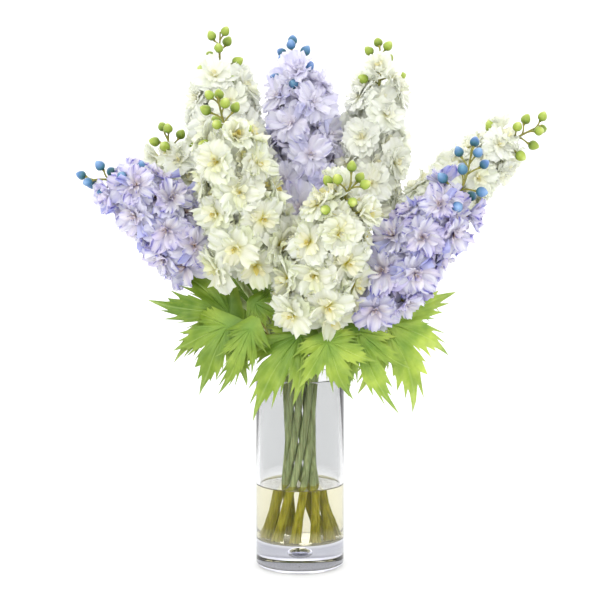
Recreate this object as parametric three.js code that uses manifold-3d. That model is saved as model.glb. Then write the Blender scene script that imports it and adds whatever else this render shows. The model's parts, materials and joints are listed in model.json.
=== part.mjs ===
// Nine cut delphinium spikes standing in a heavy glass cylinder with water.
// Units are millimetres and +Z is up. The origin is the centre of the vase's underside.
// Every spike is a stem, a collar of double florets and a tip of closed buds.

import * as THREE from "three";
import { mergeVertices } from "three/addons/utils/BufferGeometryUtils.js";
import Module from "manifold-3d";

const wasm = await Module();
wasm.setup();

// ---- Driving dimensions ----------------------------------------------------

const VASE = { radius: 50, height: 220, wall: 4, base: 32, footRound: 7, floorRound: 4, sides: 36 };
const WATER_LEVEL = 95;
const GAP = 0.4; // left between two pieces that rest on each other

// The stems are straight inside the vase. They cross at a waist, as lines on a hyperboloid do.
// lean is the sideways step for each unit of height, and footLift clears the slanting cut foot.
const STEM = { radius: 4.2, neckRadius: 3.3, tipRadius: 1.7, waistRadius: 14, waistHeight: 142,
  lean: 0.24, upperLean: 0.13, bend: 20, footLift: 1.1, sides: 8 };
const MOUTH_HEIGHT = 226; // where a stem leaves its straight line

const GOLDEN_ANGLE = THREE.MathUtils.degToRad(137.508);
const DEGREE = Math.PI / 180;

const PETIOLE_RADIUS = 1.3;
const PEDICEL_RADIUS = 0.9;

// flowers: where the flowering length starts, bends and ends. tip: the end of the budding tip.
// slot: the compass angle of the stem at the mouth, in degrees. petal and stalk: the radius of a
// floret and the length of its pedicel at the bottom and at the top of the flowering length.
// spray: the reach of the lowest and of the highest bud from the budding tip.
const SPIKES = [
  { name: "white_front", colour: "white", slot: -80,
    florets: 22, petal: [34, 28], stalk: [42, 32], buds: 9, spray: [35, 22],
    flowers: [[15, -55, 303], [25, -80, 360], [42, -98, 414]], tip: [56, -118, 452] },
  { name: "lavender_right", colour: "lavender", slot: -40,
    florets: 22, petal: [31.5, 27], stalk: [38, 29], buds: 11, spray: [31, 20],
    flowers: [[70, -30, 306], [116, -45, 360], [162, -54, 414]], tip: [188, -62, 484] },
  { name: "white_right", colour: "white", slot: 0,
    florets: 14, petal: [27, 25], stalk: [30, 24], buds: 9, spray: [28, 16],
    flowers: [[147, 25, 403], [188, 38, 446], [226, 48, 472]], tip: [275, 52, 499] },
  { name: "white_back_right", colour: "white", slot: 40,
    florets: 17, petal: [29, 27], stalk: [33, 27], buds: 8, spray: [27, 14],
    flowers: [[74, 35, 392], [82, 55, 468], [90, 72, 540]], tip: [91, 80, 588] },
  { name: "lavender_back", colour: "lavender", slot: 80,
    florets: 22, petal: [31, 28], stalk: [40, 31], buds: 10, spray: [30, 17],
    flowers: [[9, 42, 392], [5, 62, 466], [-1, 78, 534]], tip: [-12, 85, 586] },
  { name: "white_back_left", colour: "white", slot: 120,
    florets: 20, petal: [32, 28], stalk: [40, 30], buds: 9, spray: [29, 14],
    flowers: [[-69, 45, 424], [-86, 62, 488], [-90, 75, 536]], tip: [-91, 80, 603] },
  { name: "white_far_left", colour: "white", slot: 160,
    florets: 13, petal: [27, 25], stalk: [30, 24], buds: 7, spray: [28, 15],
    flowers: [[-100, 35, 375], [-121, 50, 420], [-138, 58, 456]], tip: [-155, 62, 490] },
  { name: "lavender_left", colour: "lavender", slot: 200,
    florets: 18, petal: [31, 27], stalk: [36, 28], buds: 9, spray: [28, 15],
    flowers: [[-106, -15, 349], [-146, -22, 404], [-184, -28, 434]], tip: [-239, -32, 444] },
  { name: "white_left", colour: "white", slot: 240,
    florets: 21, petal: [34, 28], stalk: [43, 33], buds: 10, spray: [30, 17],
    flowers: [[-52, -45, 352], [-62, -62, 420], [-76, -74, 482]], tip: [-90, -85, 542] },
];

// spike: the stem that the leaf grows from, at this height. blade: where the petiole meets the
// blade. tip: the end of the middle lobe. face: where the upper side looks. spread: the angle
// from lobe to lobe in degrees. side and end: reach of the lobes next to the middle one, and of the
// two outermost lobes.
const LEAVES = [
  { name: "front", spike: "white_front", height: 238, blade: [0, -62, 277], tip: [-60, -88, 194],
    face: [-0.1, -1, 0.3], spread: 36, side: 0.74, end: 0.42 },
  { name: "front_right", spike: "white_front", height: 262, blade: [30, -80, 272], tip: [50, -98, 210],
    face: [0.1, -1, 0.3], spread: 46, side: 0.85, end: 0.6 },
  { name: "right_low", spike: "lavender_right", height: 240, blade: [62, -55, 280], tip: [96, -80, 188],
    face: [0.2, -1, 0.2], spread: 30, side: 0.72, end: 0.5 },
  { name: "right", spike: "lavender_right", height: 256, blade: [94, -30, 286], tip: [144, -36, 194],
    face: [0.1, -1, 0.2], spread: 42, side: 0.8, end: 0.84 },
  { name: "back_right", spike: "white_back_right", height: 286, blade: [84, 56, 318], tip: [142, 96, 252],
    face: [0.5, 0.8, 0.6], spread: 50, side: 0.86, end: 0.6 },
  { name: "back", spike: "lavender_back", height: 256, blade: [20, 64, 292], tip: [16, 116, 212],
    face: [0, 1, 0.6], spread: 50, side: 0.86, end: 0.6 },
  { name: "back_left", spike: "white_back_left", height: 272, blade: [-40, 88, 300], tip: [-88, 130, 232],
    face: [-0.4, 1, 0.5], spread: 50, side: 0.86, end: 0.6 },
  { name: "upper_left", spike: "white_far_left", height: 262, blade: [-52, 48, 298], tip: [-108, 56, 334],
    face: [-0.2, -1, 0.3], spread: 48, side: 0.9, end: 0.7 },
  { name: "left", spike: "lavender_left", height: 262, blade: [-78, -26, 293], tip: [-167, -38, 306],
    face: [-0.2, -1, 0.3], spread: 38, side: 0.88, end: 0.6 },
  { name: "left_low", spike: "lavender_left", height: 250, blade: [-80, -62, 286], tip: [-112, -76, 214],
    face: [-0.3, -1, 0.3], spread: 46, side: 0.85, end: 0.6 },
  { name: "hanging", spike: "white_left", height: 240, blade: [-54, -82, 287], tip: [-83, -94, 213],
    face: [-0.3, -1, 0.1], spread: 26, side: 0.62, end: 0.4 },
  { name: "centre", spike: "white_left", height: 262, blade: [-50, -50, 310], tip: [-4, -58, 286],
    face: [0, -1, 0.4], spread: 34, side: 0.66, end: 0.5 },
];

// Half of a lobe's outline: turn from the lobe's middle in degrees, and reach along the lobe.
const LOBE_EDGE = [[20, 0.6], [15.5, 0.8], [9, 0.68]];
const LEAF = { thickness: 1, arch: 0.2, curl: 0.16, sinus: 0.4, innerRing: 0.45, heel: 0.18 };

// ---- Materials --------------------------------------------------------------

const finish = (color, roughness, more = {}) =>
  new THREE.MeshStandardMaterial({ color, roughness, metalness: 0, ...more });

const MATERIALS = {
  glass: finish(0xe8eef0, 0.05, { transparent: true, opacity: 0.35 }),
  water: finish(0xf2efd8, 0.05, { transparent: true, opacity: 0.4 }),
  stem: finish(0x7f9a5c, 0.6),
  leaf: finish(0x8fbf3c, 0.6),
  white: finish(0xf4f4ea, 0.75),
  lavender: finish(0xbdb8e2, 0.75),
  greenBud: finish(0x9ccb3c, 0.5),
  blueBud: finish(0x4a8cb8, 0.5),
};

// ---- Solids and meshes ------------------------------------------------------

// A closed three.js geometry as a manifold-3d solid.
function solidOf(geometry) {
  const bare = new THREE.BufferGeometry();
  bare.setAttribute("position", geometry.getAttribute("position"));
  if (geometry.index) bare.setIndex(geometry.index);
  const merged = mergeVertices(bare, 1e-4);
  return new wasm.Manifold(
    new wasm.Mesh({
      numProp: 3,
      vertProperties: new Float32Array(merged.getAttribute("position").array),
      triVerts: new Uint32Array(merged.index.array),
    }),
  );
}

function geometryOf(solid) {
  const mesh = solid.getMesh();
  const geometry = new THREE.BufferGeometry();
  geometry.setAttribute("position", new THREE.BufferAttribute(new Float32Array(mesh.vertProperties), 3));
  geometry.setIndex(new THREE.BufferAttribute(new Uint32Array(mesh.triVerts), 1));
  geometry.computeVertexNormals();
  return geometry;
}

// A geometry from corner points and the triangles between them.
function geometryFrom(points, triangles) {
  const geometry = new THREE.BufferGeometry();
  const numbers = points.flatMap((point) => point.toArray());
  geometry.setAttribute("position", new THREE.Float32BufferAttribute(numbers, 3));
  geometry.setIndex(triangles.flat());
  return geometry;
}

const vector = (xyz) => new THREE.Vector3(...xyz);

// Two directions square to a tangent and to each other. The first is level with the reference.
function crossAxes(tangent, reference = new THREE.Vector3(0, 1, 0)) {
  const side = new THREE.Vector3().crossVectors(tangent, reference).normalize();
  return [side, new THREE.Vector3().crossVectors(tangent, side)];
}

function tangentsOf(points) {
  const last = points.length - 1;
  return points.map((_, i) =>
    points[Math.min(i + 1, last)].clone().sub(points[Math.max(i - 1, 0)]).normalize());
}

// Corners of a regular polygon about a centre, in the plane of two directions.
function ring(centre, side, across, radius, sides) {
  return Array.from({ length: sides }, (_, k) => {
    const angle = (2 * Math.PI * k) / sides;
    return centre.clone()
      .addScaledVector(side, radius * Math.cos(angle))
      .addScaledVector(across, radius * Math.sin(angle));
  });
}

// A closed round rod along points, with its own radius at each of them.
function rod(points, radii, sides) {
  const tangents = tangentsOf(points);
  const upright = Math.abs(tangents[0].y) < 0.8;
  let side = crossAxes(tangents[0], new THREE.Vector3(upright ? 0 : 1, upright ? 1 : 0, 0))[0];
  const corners = points.flatMap((point, i) => {
    side = side.clone().addScaledVector(tangents[i], -side.dot(tangents[i])).normalize();
    return ring(point, side, new THREE.Vector3().crossVectors(tangents[i], side), radii[i], sides);
  });
  const faces = [];
  for (let i = 0; i < points.length - 1; i++) {
    for (let k = 0; k < sides; k++) {
      const a = i * sides + k;
      const b = i * sides + ((k + 1) % sides);
      faces.push([a, b, b + sides], [a, b + sides, a + sides]);
    }
  }
  const top = (points.length - 1) * sides;
  for (let k = 1; k < sides - 1; k++) {
    faces.push([0, k + 1, k], [top, top + k, top + k + 1]);
  }
  return geometryFrom(corners, faces);
}

// ---- Vase and water ---------------------------------------------------------

// Points of a quarter round about a centre, from one angle to another.
function arc(x, z, radius, from, to, steps) {
  return Array.from({ length: steps + 1 }, (_, i) => {
    const angle = (from + ((to - from) * i) / steps) * DEGREE;
    return new THREE.Vector2(x + radius * Math.cos(angle), z + radius * Math.sin(angle));
  });
}

function vaseGeometry() {
  const { radius, height, wall, base, footRound, floorRound, sides } = VASE;
  const lip = wall / 2;
  const profile = [
    new THREE.Vector2(0, 0),
    ...arc(radius - footRound, footRound, footRound, -90, 0, 4),
    ...arc(radius - lip, height - lip, lip, 0, 180, 4),
    ...arc(radius - wall - floorRound, base + floorRound, floorRound, 0, -90, 2),
    new THREE.Vector2(0, base),
  ];
  const geometry = new THREE.LatheGeometry(profile, sides);
  return geometry.rotateX(Math.PI / 2);
}

function waterSolid() {
  const bottom = VASE.base + GAP;
  const radius = VASE.radius - VASE.wall - GAP;
  const round = VASE.floorRound;
  const profile = [
    new THREE.Vector2(0, bottom),
    ...arc(radius - round, bottom + round, round, -90, 0, 2),
    new THREE.Vector2(radius, WATER_LEVEL),
    new THREE.Vector2(0, WATER_LEVEL),
  ];
  const body = solidOf(new THREE.LatheGeometry(profile, VASE.sides).rotateX(Math.PI / 2));
  const bore = STEM.radius + GAP;
  return SPIKES.reduce((water, spike) => {
    const ends = [VASE.base - 12, WATER_LEVEL + 12].map((z) => stemLine(spike, z));
    return water.subtract(solidOf(rod(ends, [bore, bore], STEM.sides)));
  }, body);
}

// ---- Stems ------------------------------------------------------------------

// How far a stem has leaned at height z, measured from the waist. It leans more below the waist
// than above it, and bends softly from one lean to the other.
function leanAt(z) {
  const { waistHeight, lean, upperLean, bend } = STEM;
  const above = z - waistHeight;
  const below = Math.min(above, 0);
  const eased = Math.abs(above) < bend ? -((bend - above) ** 2) / (4 * bend) : below;
  return upperLean * above + (lean - upperLean) * eased;
}

// The stem's compass angle at the waist. Its lean carries it on to its slot at the mouth.
function waistAngle(spike) {
  return spike.slot * DEGREE - Math.atan(leanAt(MOUTH_HEIGHT) / STEM.waistRadius);
}

// The point of a stem inside the vase at height z. The run is straight below the bend.
function stemLine(spike, z) {
  const angle = waistAngle(spike);
  const along = leanAt(z);
  return new THREE.Vector3(
    STEM.waistRadius * Math.cos(angle) - along * Math.sin(angle),
    STEM.waistRadius * Math.sin(angle) + along * Math.cos(angle),
    z,
  );
}

function flowerRun(spike) {
  return new THREE.QuadraticBezierCurve3(...spike.flowers.map(vector));
}

// From the mouth of the vase to the first floret.
function neckRun(spike) {
  const mouth = stemLine(spike, MOUTH_HEIGHT);
  const [first, second] = spike.flowers.map(vector);
  const span = mouth.distanceTo(first) / 3;
  const up = stemLine(spike, MOUTH_HEIGHT + 1).sub(mouth).normalize();
  const into = second.clone().sub(first).normalize();
  return new THREE.CubicBezierCurve3(
    mouth, mouth.clone().addScaledVector(up, span), first.clone().addScaledVector(into, -span), first);
}

function tipRun(spike) {
  const [, bend, top] = spike.flowers.map(vector);
  const tip = vector(spike.tip);
  const reach = top.distanceTo(tip) / 2;
  const on = top.clone().sub(bend).normalize();
  return new THREE.QuadraticBezierCurve3(top, top.clone().addScaledVector(on, reach), tip);
}

// Points of a run from one share of it to another, with a radius for each of them.
function stretch(run, from, to, steps, fromRadius, toRadius) {
  const shares = Array.from({ length: steps + 1 }, (_, i) => i / steps);
  return {
    points: shares.map((share) => run.getPoint(THREE.MathUtils.lerp(from, to, share))),
    radii: shares.map((share) => THREE.MathUtils.lerp(fromRadius, toRadius, share)),
  };
}

// The cut stem, from its foot on the floor of the vase to the first floret.
function stemGeometry(spike) {
  const bends = [-1, -0.33, 0.33, 1].map((share) => STEM.waistHeight + share * STEM.bend);
  const straight = [VASE.base + STEM.footLift, ...bends].map((z) => stemLine(spike, z));
  const { points, radii } = stretch(neckRun(spike), 0, 1, 8, STEM.radius, STEM.neckRadius);
  return rod([...straight, ...points], [...straight.map(() => STEM.radius), ...radii], STEM.sides);
}

// The flowering length of the stem, which bears the pedicels.
function rachisGeometry(spike) {
  const run = flowerRun(spike);
  const { points, radii } = stretch(run, GAP / run.getLength(), 1, 5, STEM.neckRadius, STEM.tipRadius);
  return rod(points, radii, STEM.sides);
}

const rachisRadius = (share) => THREE.MathUtils.lerp(STEM.neckRadius, STEM.tipRadius, share);

// ---- Budding tips -----------------------------------------------------------

// Every bud of a tip: the point of the rachis that it grows from, its centre and its radius.
function budsOf(spike) {
  const run = tipRun(spike);
  return Array.from({ length: spike.buds }, (_, k) => {
    const share = (k + 0.5) / spike.buds;
    const root = run.getPoint(share * 0.9);
    const tangent = run.getTangent(share * 0.9);
    const [side, across] = crossAxes(tangent);
    const angle = k * GOLDEN_ANGLE + spike.slot * DEGREE;
    const climb = THREE.MathUtils.lerp(4, 58, share) * DEGREE;
    const outward = side.multiplyScalar(Math.cos(angle)).addScaledVector(across, Math.sin(angle));
    const way = outward.multiplyScalar(Math.cos(climb)).addScaledVector(tangent, Math.sin(climb));
    const length = THREE.MathUtils.lerp(spike.spray[0], spike.spray[1], share);
    return { root, way, centre: root.clone().addScaledVector(way, length), radius: 6 - 0.8 * share };
  });
}

// A bud with its pedicel, as one turned shape: a thin neck that widens to a ball.
function budGeometry({ root, way, centre, radius }) {
  const length = root.distanceTo(centre);
  const stations = [
    [0, PEDICEL_RADIUS],
    [length - 0.95 * radius, PEDICEL_RADIUS],
    [length - 0.45 * radius, 0.9 * radius],
    [length + 0.35 * radius, 0.93 * radius],
    [length + radius, 0.2 * radius],
  ];
  const points = stations.map(([along]) => root.clone().addScaledVector(way, along));
  return rod(points, stations.map(([, girth]) => girth), 5);
}

function budTipSolid(spike) {
  const run = tipRun(spike);
  const { points, radii } = stretch(run, GAP / run.getLength(), 1, 3, STEM.tipRadius, PEDICEL_RADIUS);
  const rachis = solidOf(rod(points, radii, 5));
  return budsOf(spike).reduce((solid, bud) => solid.add(solidOf(budGeometry(bud))), rachis);
}

// ---- Florets ----------------------------------------------------------------

// The heads of all florets before they crowd each other. stalk is the length of the pedicel.
function openHeads() {
  return SPIKES.flatMap((spike) => {
    const run = flowerRun(spike);
    return Array.from({ length: spike.florets }, (_, k) => {
      const share = (k + 0.5) / spike.florets;
      const root = run.getPoint(share);
      const tangent = run.getTangent(share);
      const [side, across] = crossAxes(tangent);
      const angle = k * GOLDEN_ANGLE + spike.slot * DEGREE;
      const outward = side.multiplyScalar(Math.cos(angle)).addScaledVector(across, Math.sin(angle));
      const climb = THREE.MathUtils.lerp(8, 44, share ** 1.5) * DEGREE;
      const way = outward.clone().multiplyScalar(Math.cos(climb)).addScaledVector(tangent, Math.sin(climb));
      const stalk = THREE.MathUtils.lerp(spike.stalk[0], spike.stalk[1], share);
      return {
        spike, share, root, outward, tangent, stalk,
        petal: THREE.MathUtils.lerp(spike.petal[0], spike.petal[1], share),
        home: root.clone().addScaledVector(way, stalk),
        head: root.clone().addScaledVector(way, stalk),
      };
    });
  });
}

// room: the spacing that two heads seek, as a share of their radii, on one spike and on two.
const CROWDING = { rounds: 40, ownRoom: 0.6, otherRoom: 0.66, stemRoom: 0.6, push: 0.25, pull: 0.1 };

// Neighbouring heads push each other aside. A pedicel bends but keeps its length.
function crowdedHeads() {
  const heads = openHeads();
  const stems = SPIKES.map((spike) => {
    const points = [...neckRun(spike).getPoints(12), ...flowerRun(spike).getPoints(12)];
    return { spike, points };
  });
  for (let round = 0; round < CROWDING.rounds; round++) {
    for (let i = 0; i < heads.length; i++) {
      for (let j = i + 1; j < heads.length; j++) {
        const apart = heads[j].head.clone().sub(heads[i].head);
        const distance = apart.length();
        const room = heads[i].spike === heads[j].spike ? CROWDING.ownRoom : CROWDING.otherRoom;
        const wanted = room * (heads[i].petal + heads[j].petal);
        if (distance >= wanted) continue;
        apart.multiplyScalar((CROWDING.push * (wanted - distance)) / distance);
        heads[i].head.sub(apart);
        heads[j].head.add(apart);
      }
    }
    for (const one of heads) {
      for (const { spike, points } of stems) {
        if (spike === one.spike) continue;
        for (const point of points) {
          const apart = one.head.clone().sub(point);
          const distance = apart.length();
          const wanted = CROWDING.stemRoom * one.petal;
          if (distance >= wanted) continue;
          one.head.addScaledVector(apart, (CROWDING.push * (wanted - distance)) / distance);
        }
      }
      one.head.lerp(one.home, CROWDING.pull);
      one.head.sub(one.root).setLength(one.stalk).add(one.root);
    }
  }
  return heads;
}

// petals: tips of the star. notch: reach of the edge between two tips. lift: how far the edge
// stands in front of the calyx, and heart: how far the middle does, as shares of the radius.
const CUP = { petals: 5, notch: 0.82, lift: 0.42, heart: 0.18 };
const PEDICEL_SIDES = 3;

// A floret at a share of its full size. A three-sided pedicel flares into a shallow
// five-petalled cup: ring by ring from the rachis, over the edge, to the heart.
function floretSolid(one, scale) {
  const way = one.head.clone().sub(one.root).normalize();
  const facing = way.clone().addScaledVector(one.tangent, -0.25).normalize();
  const radius = one.petal * scale;
  const start = one.root.clone().addScaledVector(way, rachisRadius(one.share) / 2);
  const foot = ring(start, ...crossAxes(way, one.tangent), PEDICEL_RADIUS, PEDICEL_SIDES);
  const axes = crossAxes(facing, one.tangent);
  const calyx = ring(one.head, ...axes, PEDICEL_RADIUS, PEDICEL_SIDES);
  const count = 2 * CUP.petals;
  const edge = ring(one.head, ...axes, 1, count).map((corner, k) => {
    const reach = k % 2 ? CUP.notch * radius : radius;
    const out = corner.sub(one.head).multiplyScalar(reach);
    return out.add(one.head).addScaledVector(facing, CUP.lift * reach);
  });
  const heart = one.head.clone().addScaledVector(facing, CUP.heart * radius);
  const [c, e, h] = [PEDICEL_SIDES, 2 * PEDICEL_SIDES, 2 * PEDICEL_SIDES + count];
  const faces = [[0, 2, 1]];
  for (let k = 0; k < PEDICEL_SIDES; k++) {
    const next = (k + 1) % PEDICEL_SIDES;
    faces.push([k, next, c + next], [k, c + next, c + k]);
  }
  let near = 0;
  for (let k = 0; k < count; k++) {
    const next = (k + 1) % count;
    faces.push([c + near, e + next, e + k], [e + k, e + next, h]);
    const wanted = Math.round(((k + 1) * PEDICEL_SIDES) / count) % PEDICEL_SIDES;
    if (wanted !== near) {
      faces.push([c + near, c + wanted, e + next]);
      near = wanted;
    }
  }
  return solidOf(geometryFrom([...foot, ...calyx, ...edge, heart], faces));
}

const TOUCH_MM3 = 0.001;
const SPARE = 0.02; // a piece is tried this much larger, so that a gap is left round it

// The piece at the largest of its sizes that is clear of all that is taken already.
function firstClear(sizes, taken, make) {
  const clear = (size) => make(size * (1 + SPARE)).intersect(taken).volume() < TOUCH_MM3;
  const size = sizes.find(clear);
  return size ? make(size) : null;
}

const FLORET_SIZES = [1, 0.86, 0.72, 0.58];

// The rachis of a spike with its florets, each as large as its neighbours let it open.
function floretsSolid(spike, heads, taken) {
  return heads.reduce((solid, one) => {
    const floret = firstClear(FLORET_SIZES, taken, (size) => floretSolid(one, size));
    return floret ? solid.add(floret) : solid;
  }, solidOf(rachisGeometry(spike)));
}

// ---- Leaves -----------------------------------------------------------------

// The outline of a blade as pairs of direction and reach, going round from the heel.
function leafOutline(leaf) {
  const reaches = [leaf.end, leaf.side, 1, leaf.side, leaf.end];
  const outline = [[-160, LEAF.heel]];
  reaches.forEach((reach, i) => {
    const turn = (i - 2) * leaf.spread;
    if (i) outline.push([turn - leaf.spread / 2, LEAF.sinus]);
    const narrow = leaf.spread / 50;
    LOBE_EDGE.forEach(([off, share]) => outline.push([turn - off * narrow, reach * share]));
    outline.push([turn, reach]);
    [...LOBE_EDGE].reverse().forEach(([off, share]) => outline.push([turn + off * narrow, reach * share]));
  });
  outline.push([160, LEAF.heel]);
  return outline;
}

// The frame of a blade: its root, the way to its tip, its left side and its upper side.
function bladeFrame(leaf, size) {
  const root = vector(leaf.blade);
  const along = vector(leaf.tip).sub(root);
  const length = along.length() * size;
  along.normalize();
  const left = vector(leaf.face).cross(along).normalize();
  return { root, along, left, up: along.clone().cross(left), length };
}

// The blade arches from root to tip, and its side lobes curl down.
function bladePoint(frame, turn, reach, lift) {
  const forward = reach * Math.cos(turn * DEGREE);
  const sideways = reach * Math.sin(turn * DEGREE);
  const arch = LEAF.arch * (forward - forward * Math.abs(forward)) - LEAF.curl * sideways * sideways;
  return frame.root.clone()
    .addScaledVector(frame.along, forward * frame.length)
    .addScaledVector(frame.left, sideways * frame.length)
    .addScaledVector(frame.up, arch * frame.length + lift);
}

function bladeGeometry(leaf, frame) {
  const outline = leafOutline(leaf);
  const count = outline.length;
  const half = LEAF.thickness / 2;
  const points = [bladePoint(frame, 0, 0, half), bladePoint(frame, 0, 0, -half)];
  for (const lift of [half, -half]) {
    outline.forEach(([turn, reach]) => points.push(bladePoint(frame, turn, reach * LEAF.innerRing, lift)));
  }
  outline.forEach(([turn, reach]) => points.push(bladePoint(frame, turn, reach, 0)));
  const faces = [];
  for (let k = 0; k < count; k++) {
    const next = (k + 1) % count;
    const [upper, upperNext] = [2 + k, 2 + next];
    const [lower, lowerNext] = [2 + count + k, 2 + count + next];
    const [edge, edgeNext] = [2 + 2 * count + k, 2 + 2 * count + next];
    faces.push([0, upper, upperNext], [upper, edge, edgeNext], [upper, edgeNext, upperNext]);
    faces.push([1, lowerNext, lower], [lower, edgeNext, edge], [lower, lowerNext, edgeNext]);
  }
  return geometryFrom(points, faces);
}

// The point of a stem's neck at height z, with the way the stem runs there and its radius.
function stemAt(spike, z) {
  const run = neckRun(spike);
  const shares = Array.from({ length: 101 }, (_, i) => i / 100);
  const share = shares.find((one) => run.getPoint(one).z >= z);
  return {
    point: run.getPoint(share),
    tangent: run.getTangent(share),
    radius: THREE.MathUtils.lerp(STEM.radius, STEM.neckRadius, share),
  };
}

// The petiole leaves its stem squarely, arches over and runs into the heel of the blade.
function petioleGeometry(leaf, frame) {
  const { point, tangent, radius } = stemAt(SPIKES.find((one) => one.name === leaf.spike), leaf.height);
  const heel = bladePoint(frame, 180, LEAF.heel / 3, 0);
  const out = heel.clone().sub(point);
  out.addScaledVector(tangent, -out.dot(tangent)).normalize();
  const start = point.clone().addScaledVector(out, radius + 2 * GAP);
  const span = start.distanceTo(heel) / 3;
  const leaving = start.clone().addScaledVector(out, span);
  const arriving = heel.clone().addScaledVector(frame.along, -span);
  const run = new THREE.CubicBezierCurve3(start, leaving, arriving, heel);
  const { points, radii } = stretch(run, 0, 1, 5, PETIOLE_RADIUS, LEAF.thickness * 0.7);
  return rod(points, radii, 5);
}

function leafSolid(leaf, size) {
  const frame = bladeFrame(leaf, size);
  return solidOf(petioleGeometry(leaf, frame)).add(solidOf(bladeGeometry(leaf, frame)));
}

// ---- The bouquet ------------------------------------------------------------

const bouquet = new THREE.Group();

function addPiece(name, solid, material) {
  const mesh = new THREE.Mesh(geometryOf(solid), material);
  mesh.name = name;
  bouquet.add(mesh);
}

const vase = solidOf(vaseGeometry());
addPiece("vase", vase, MATERIALS.glass);
addPiece("water", waterSolid(), MATERIALS.water);

let taken = vase;
for (const spike of SPIKES) {
  const stem = solidOf(stemGeometry(spike));
  const tip = budTipSolid(spike);
  addPiece(`stem_${spike.name}`, stem, MATERIALS.stem);
  addPiece(`buds_${spike.name}`, tip, spike.colour === "white" ? MATERIALS.greenBud : MATERIALS.blueBud);
  taken = taken.add(stem).add(tip);
}
for (const leaf of LEAVES) {
  const solid = leafSolid(leaf, 1);
  addPiece(`leaf_${leaf.name}`, solid, MATERIALS.leaf);
  taken = taken.add(solid);
}

const heads = crowdedHeads();
for (const spike of SPIKES) {
  const florets = floretsSolid(spike, heads.filter((one) => one.spike === spike), taken);
  addPiece(`florets_${spike.name}`, florets, MATERIALS[spike.colour]);
  taken = taken.add(florets);
}

export default bouquet;
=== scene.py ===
# %% [markdown]
# # Delphiniums in a glass cylinder
# Nine cut delphinium spikes stand in a heavy glass vase. Six are white with green buds, and three
# are lavender with blue buds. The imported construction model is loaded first. It fixes where every
# stem, leaf and flower sits, and everything below is grown around it in metres.

# %% Load the frame
import json
import math
import random

import bmesh
import bpy
from mathutils import Matrix, Quaternion, Vector

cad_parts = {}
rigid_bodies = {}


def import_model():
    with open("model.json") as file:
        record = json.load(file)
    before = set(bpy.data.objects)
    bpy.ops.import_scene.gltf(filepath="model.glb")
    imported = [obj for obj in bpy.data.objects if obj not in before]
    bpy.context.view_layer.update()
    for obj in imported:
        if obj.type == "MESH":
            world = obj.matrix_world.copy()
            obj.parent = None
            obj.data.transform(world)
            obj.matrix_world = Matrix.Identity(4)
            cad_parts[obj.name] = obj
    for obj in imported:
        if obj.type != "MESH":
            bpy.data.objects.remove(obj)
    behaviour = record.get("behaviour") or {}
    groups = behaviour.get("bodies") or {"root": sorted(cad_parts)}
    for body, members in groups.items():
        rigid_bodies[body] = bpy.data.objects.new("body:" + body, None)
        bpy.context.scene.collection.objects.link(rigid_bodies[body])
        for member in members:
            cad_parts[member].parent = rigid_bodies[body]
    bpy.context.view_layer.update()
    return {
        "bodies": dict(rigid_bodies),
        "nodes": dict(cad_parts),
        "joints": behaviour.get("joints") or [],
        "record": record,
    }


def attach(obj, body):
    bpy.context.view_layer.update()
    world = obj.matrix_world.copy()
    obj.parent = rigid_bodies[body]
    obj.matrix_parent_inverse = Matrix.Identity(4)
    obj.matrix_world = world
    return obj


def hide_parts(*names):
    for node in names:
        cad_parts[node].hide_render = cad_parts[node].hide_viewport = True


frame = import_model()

# %% [markdown]
# ## The plan of the bouquet
# A florist would describe a bunch by where each flower goes, so the plan is a short table and not a
# sculpture. Each spike has the place where its flowers begin, bend and end, and the end of its
# budding tip. Each leaf has the stem it grows from, the root and tip of its blade and the way it
# faces. All numbers in the two tables are millimetres, and the last lines turn them into metres.

# %% The nine spikes
MM = 0.001
SPIKES = [
    dict(name="white_front", colour="white", slot=-80,
         florets=22, petal=(34, 28), stalk=(42, 32), buds=9, spray=(35, 22),
         flowers=[(15, -55, 303), (25, -80, 360), (42, -98, 414)], tip=(56, -118, 452)),
    dict(name="lavender_right", colour="lavender", slot=-40,
         florets=22, petal=(31.5, 27), stalk=(38, 29), buds=11, spray=(31, 20),
         flowers=[(70, -30, 306), (116, -45, 360), (162, -54, 414)], tip=(188, -62, 484)),
    dict(name="white_right", colour="white", slot=0,
         florets=14, petal=(27, 25), stalk=(30, 24), buds=9, spray=(28, 16),
         flowers=[(147, 25, 403), (188, 38, 446), (226, 48, 472)], tip=(275, 52, 499)),
    dict(name="white_back_right", colour="white", slot=40,
         florets=17, petal=(29, 27), stalk=(33, 27), buds=8, spray=(27, 14),
         flowers=[(74, 35, 392), (82, 55, 468), (90, 72, 540)], tip=(91, 80, 588)),
    dict(name="lavender_back", colour="lavender", slot=80,
         florets=22, petal=(31, 28), stalk=(40, 31), buds=10, spray=(30, 17),
         flowers=[(9, 42, 392), (5, 62, 466), (-1, 78, 534)], tip=(-12, 85, 586)),
    dict(name="white_back_left", colour="white", slot=120,
         florets=20, petal=(32, 28), stalk=(40, 30), buds=9, spray=(29, 14),
         flowers=[(-69, 45, 424), (-86, 62, 488), (-90, 75, 536)], tip=(-91, 80, 603)),
    dict(name="white_far_left", colour="white", slot=160,
         florets=13, petal=(27, 25), stalk=(30, 24), buds=7, spray=(28, 15),
         flowers=[(-100, 35, 375), (-121, 50, 420), (-138, 58, 456)], tip=(-155, 62, 490)),
    dict(name="lavender_left", colour="lavender", slot=200,
         florets=18, petal=(31, 27), stalk=(36, 28), buds=9, spray=(28, 15),
         flowers=[(-106, -15, 349), (-146, -22, 404), (-184, -28, 434)], tip=(-239, -32, 444)),
    dict(name="white_left", colour="white", slot=240,
         florets=21, petal=(34, 28), stalk=(43, 33), buds=10, spray=(30, 17),
         flowers=[(-52, -45, 352), (-62, -62, 420), (-76, -74, 482)], tip=(-90, -85, 542)),
]

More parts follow.
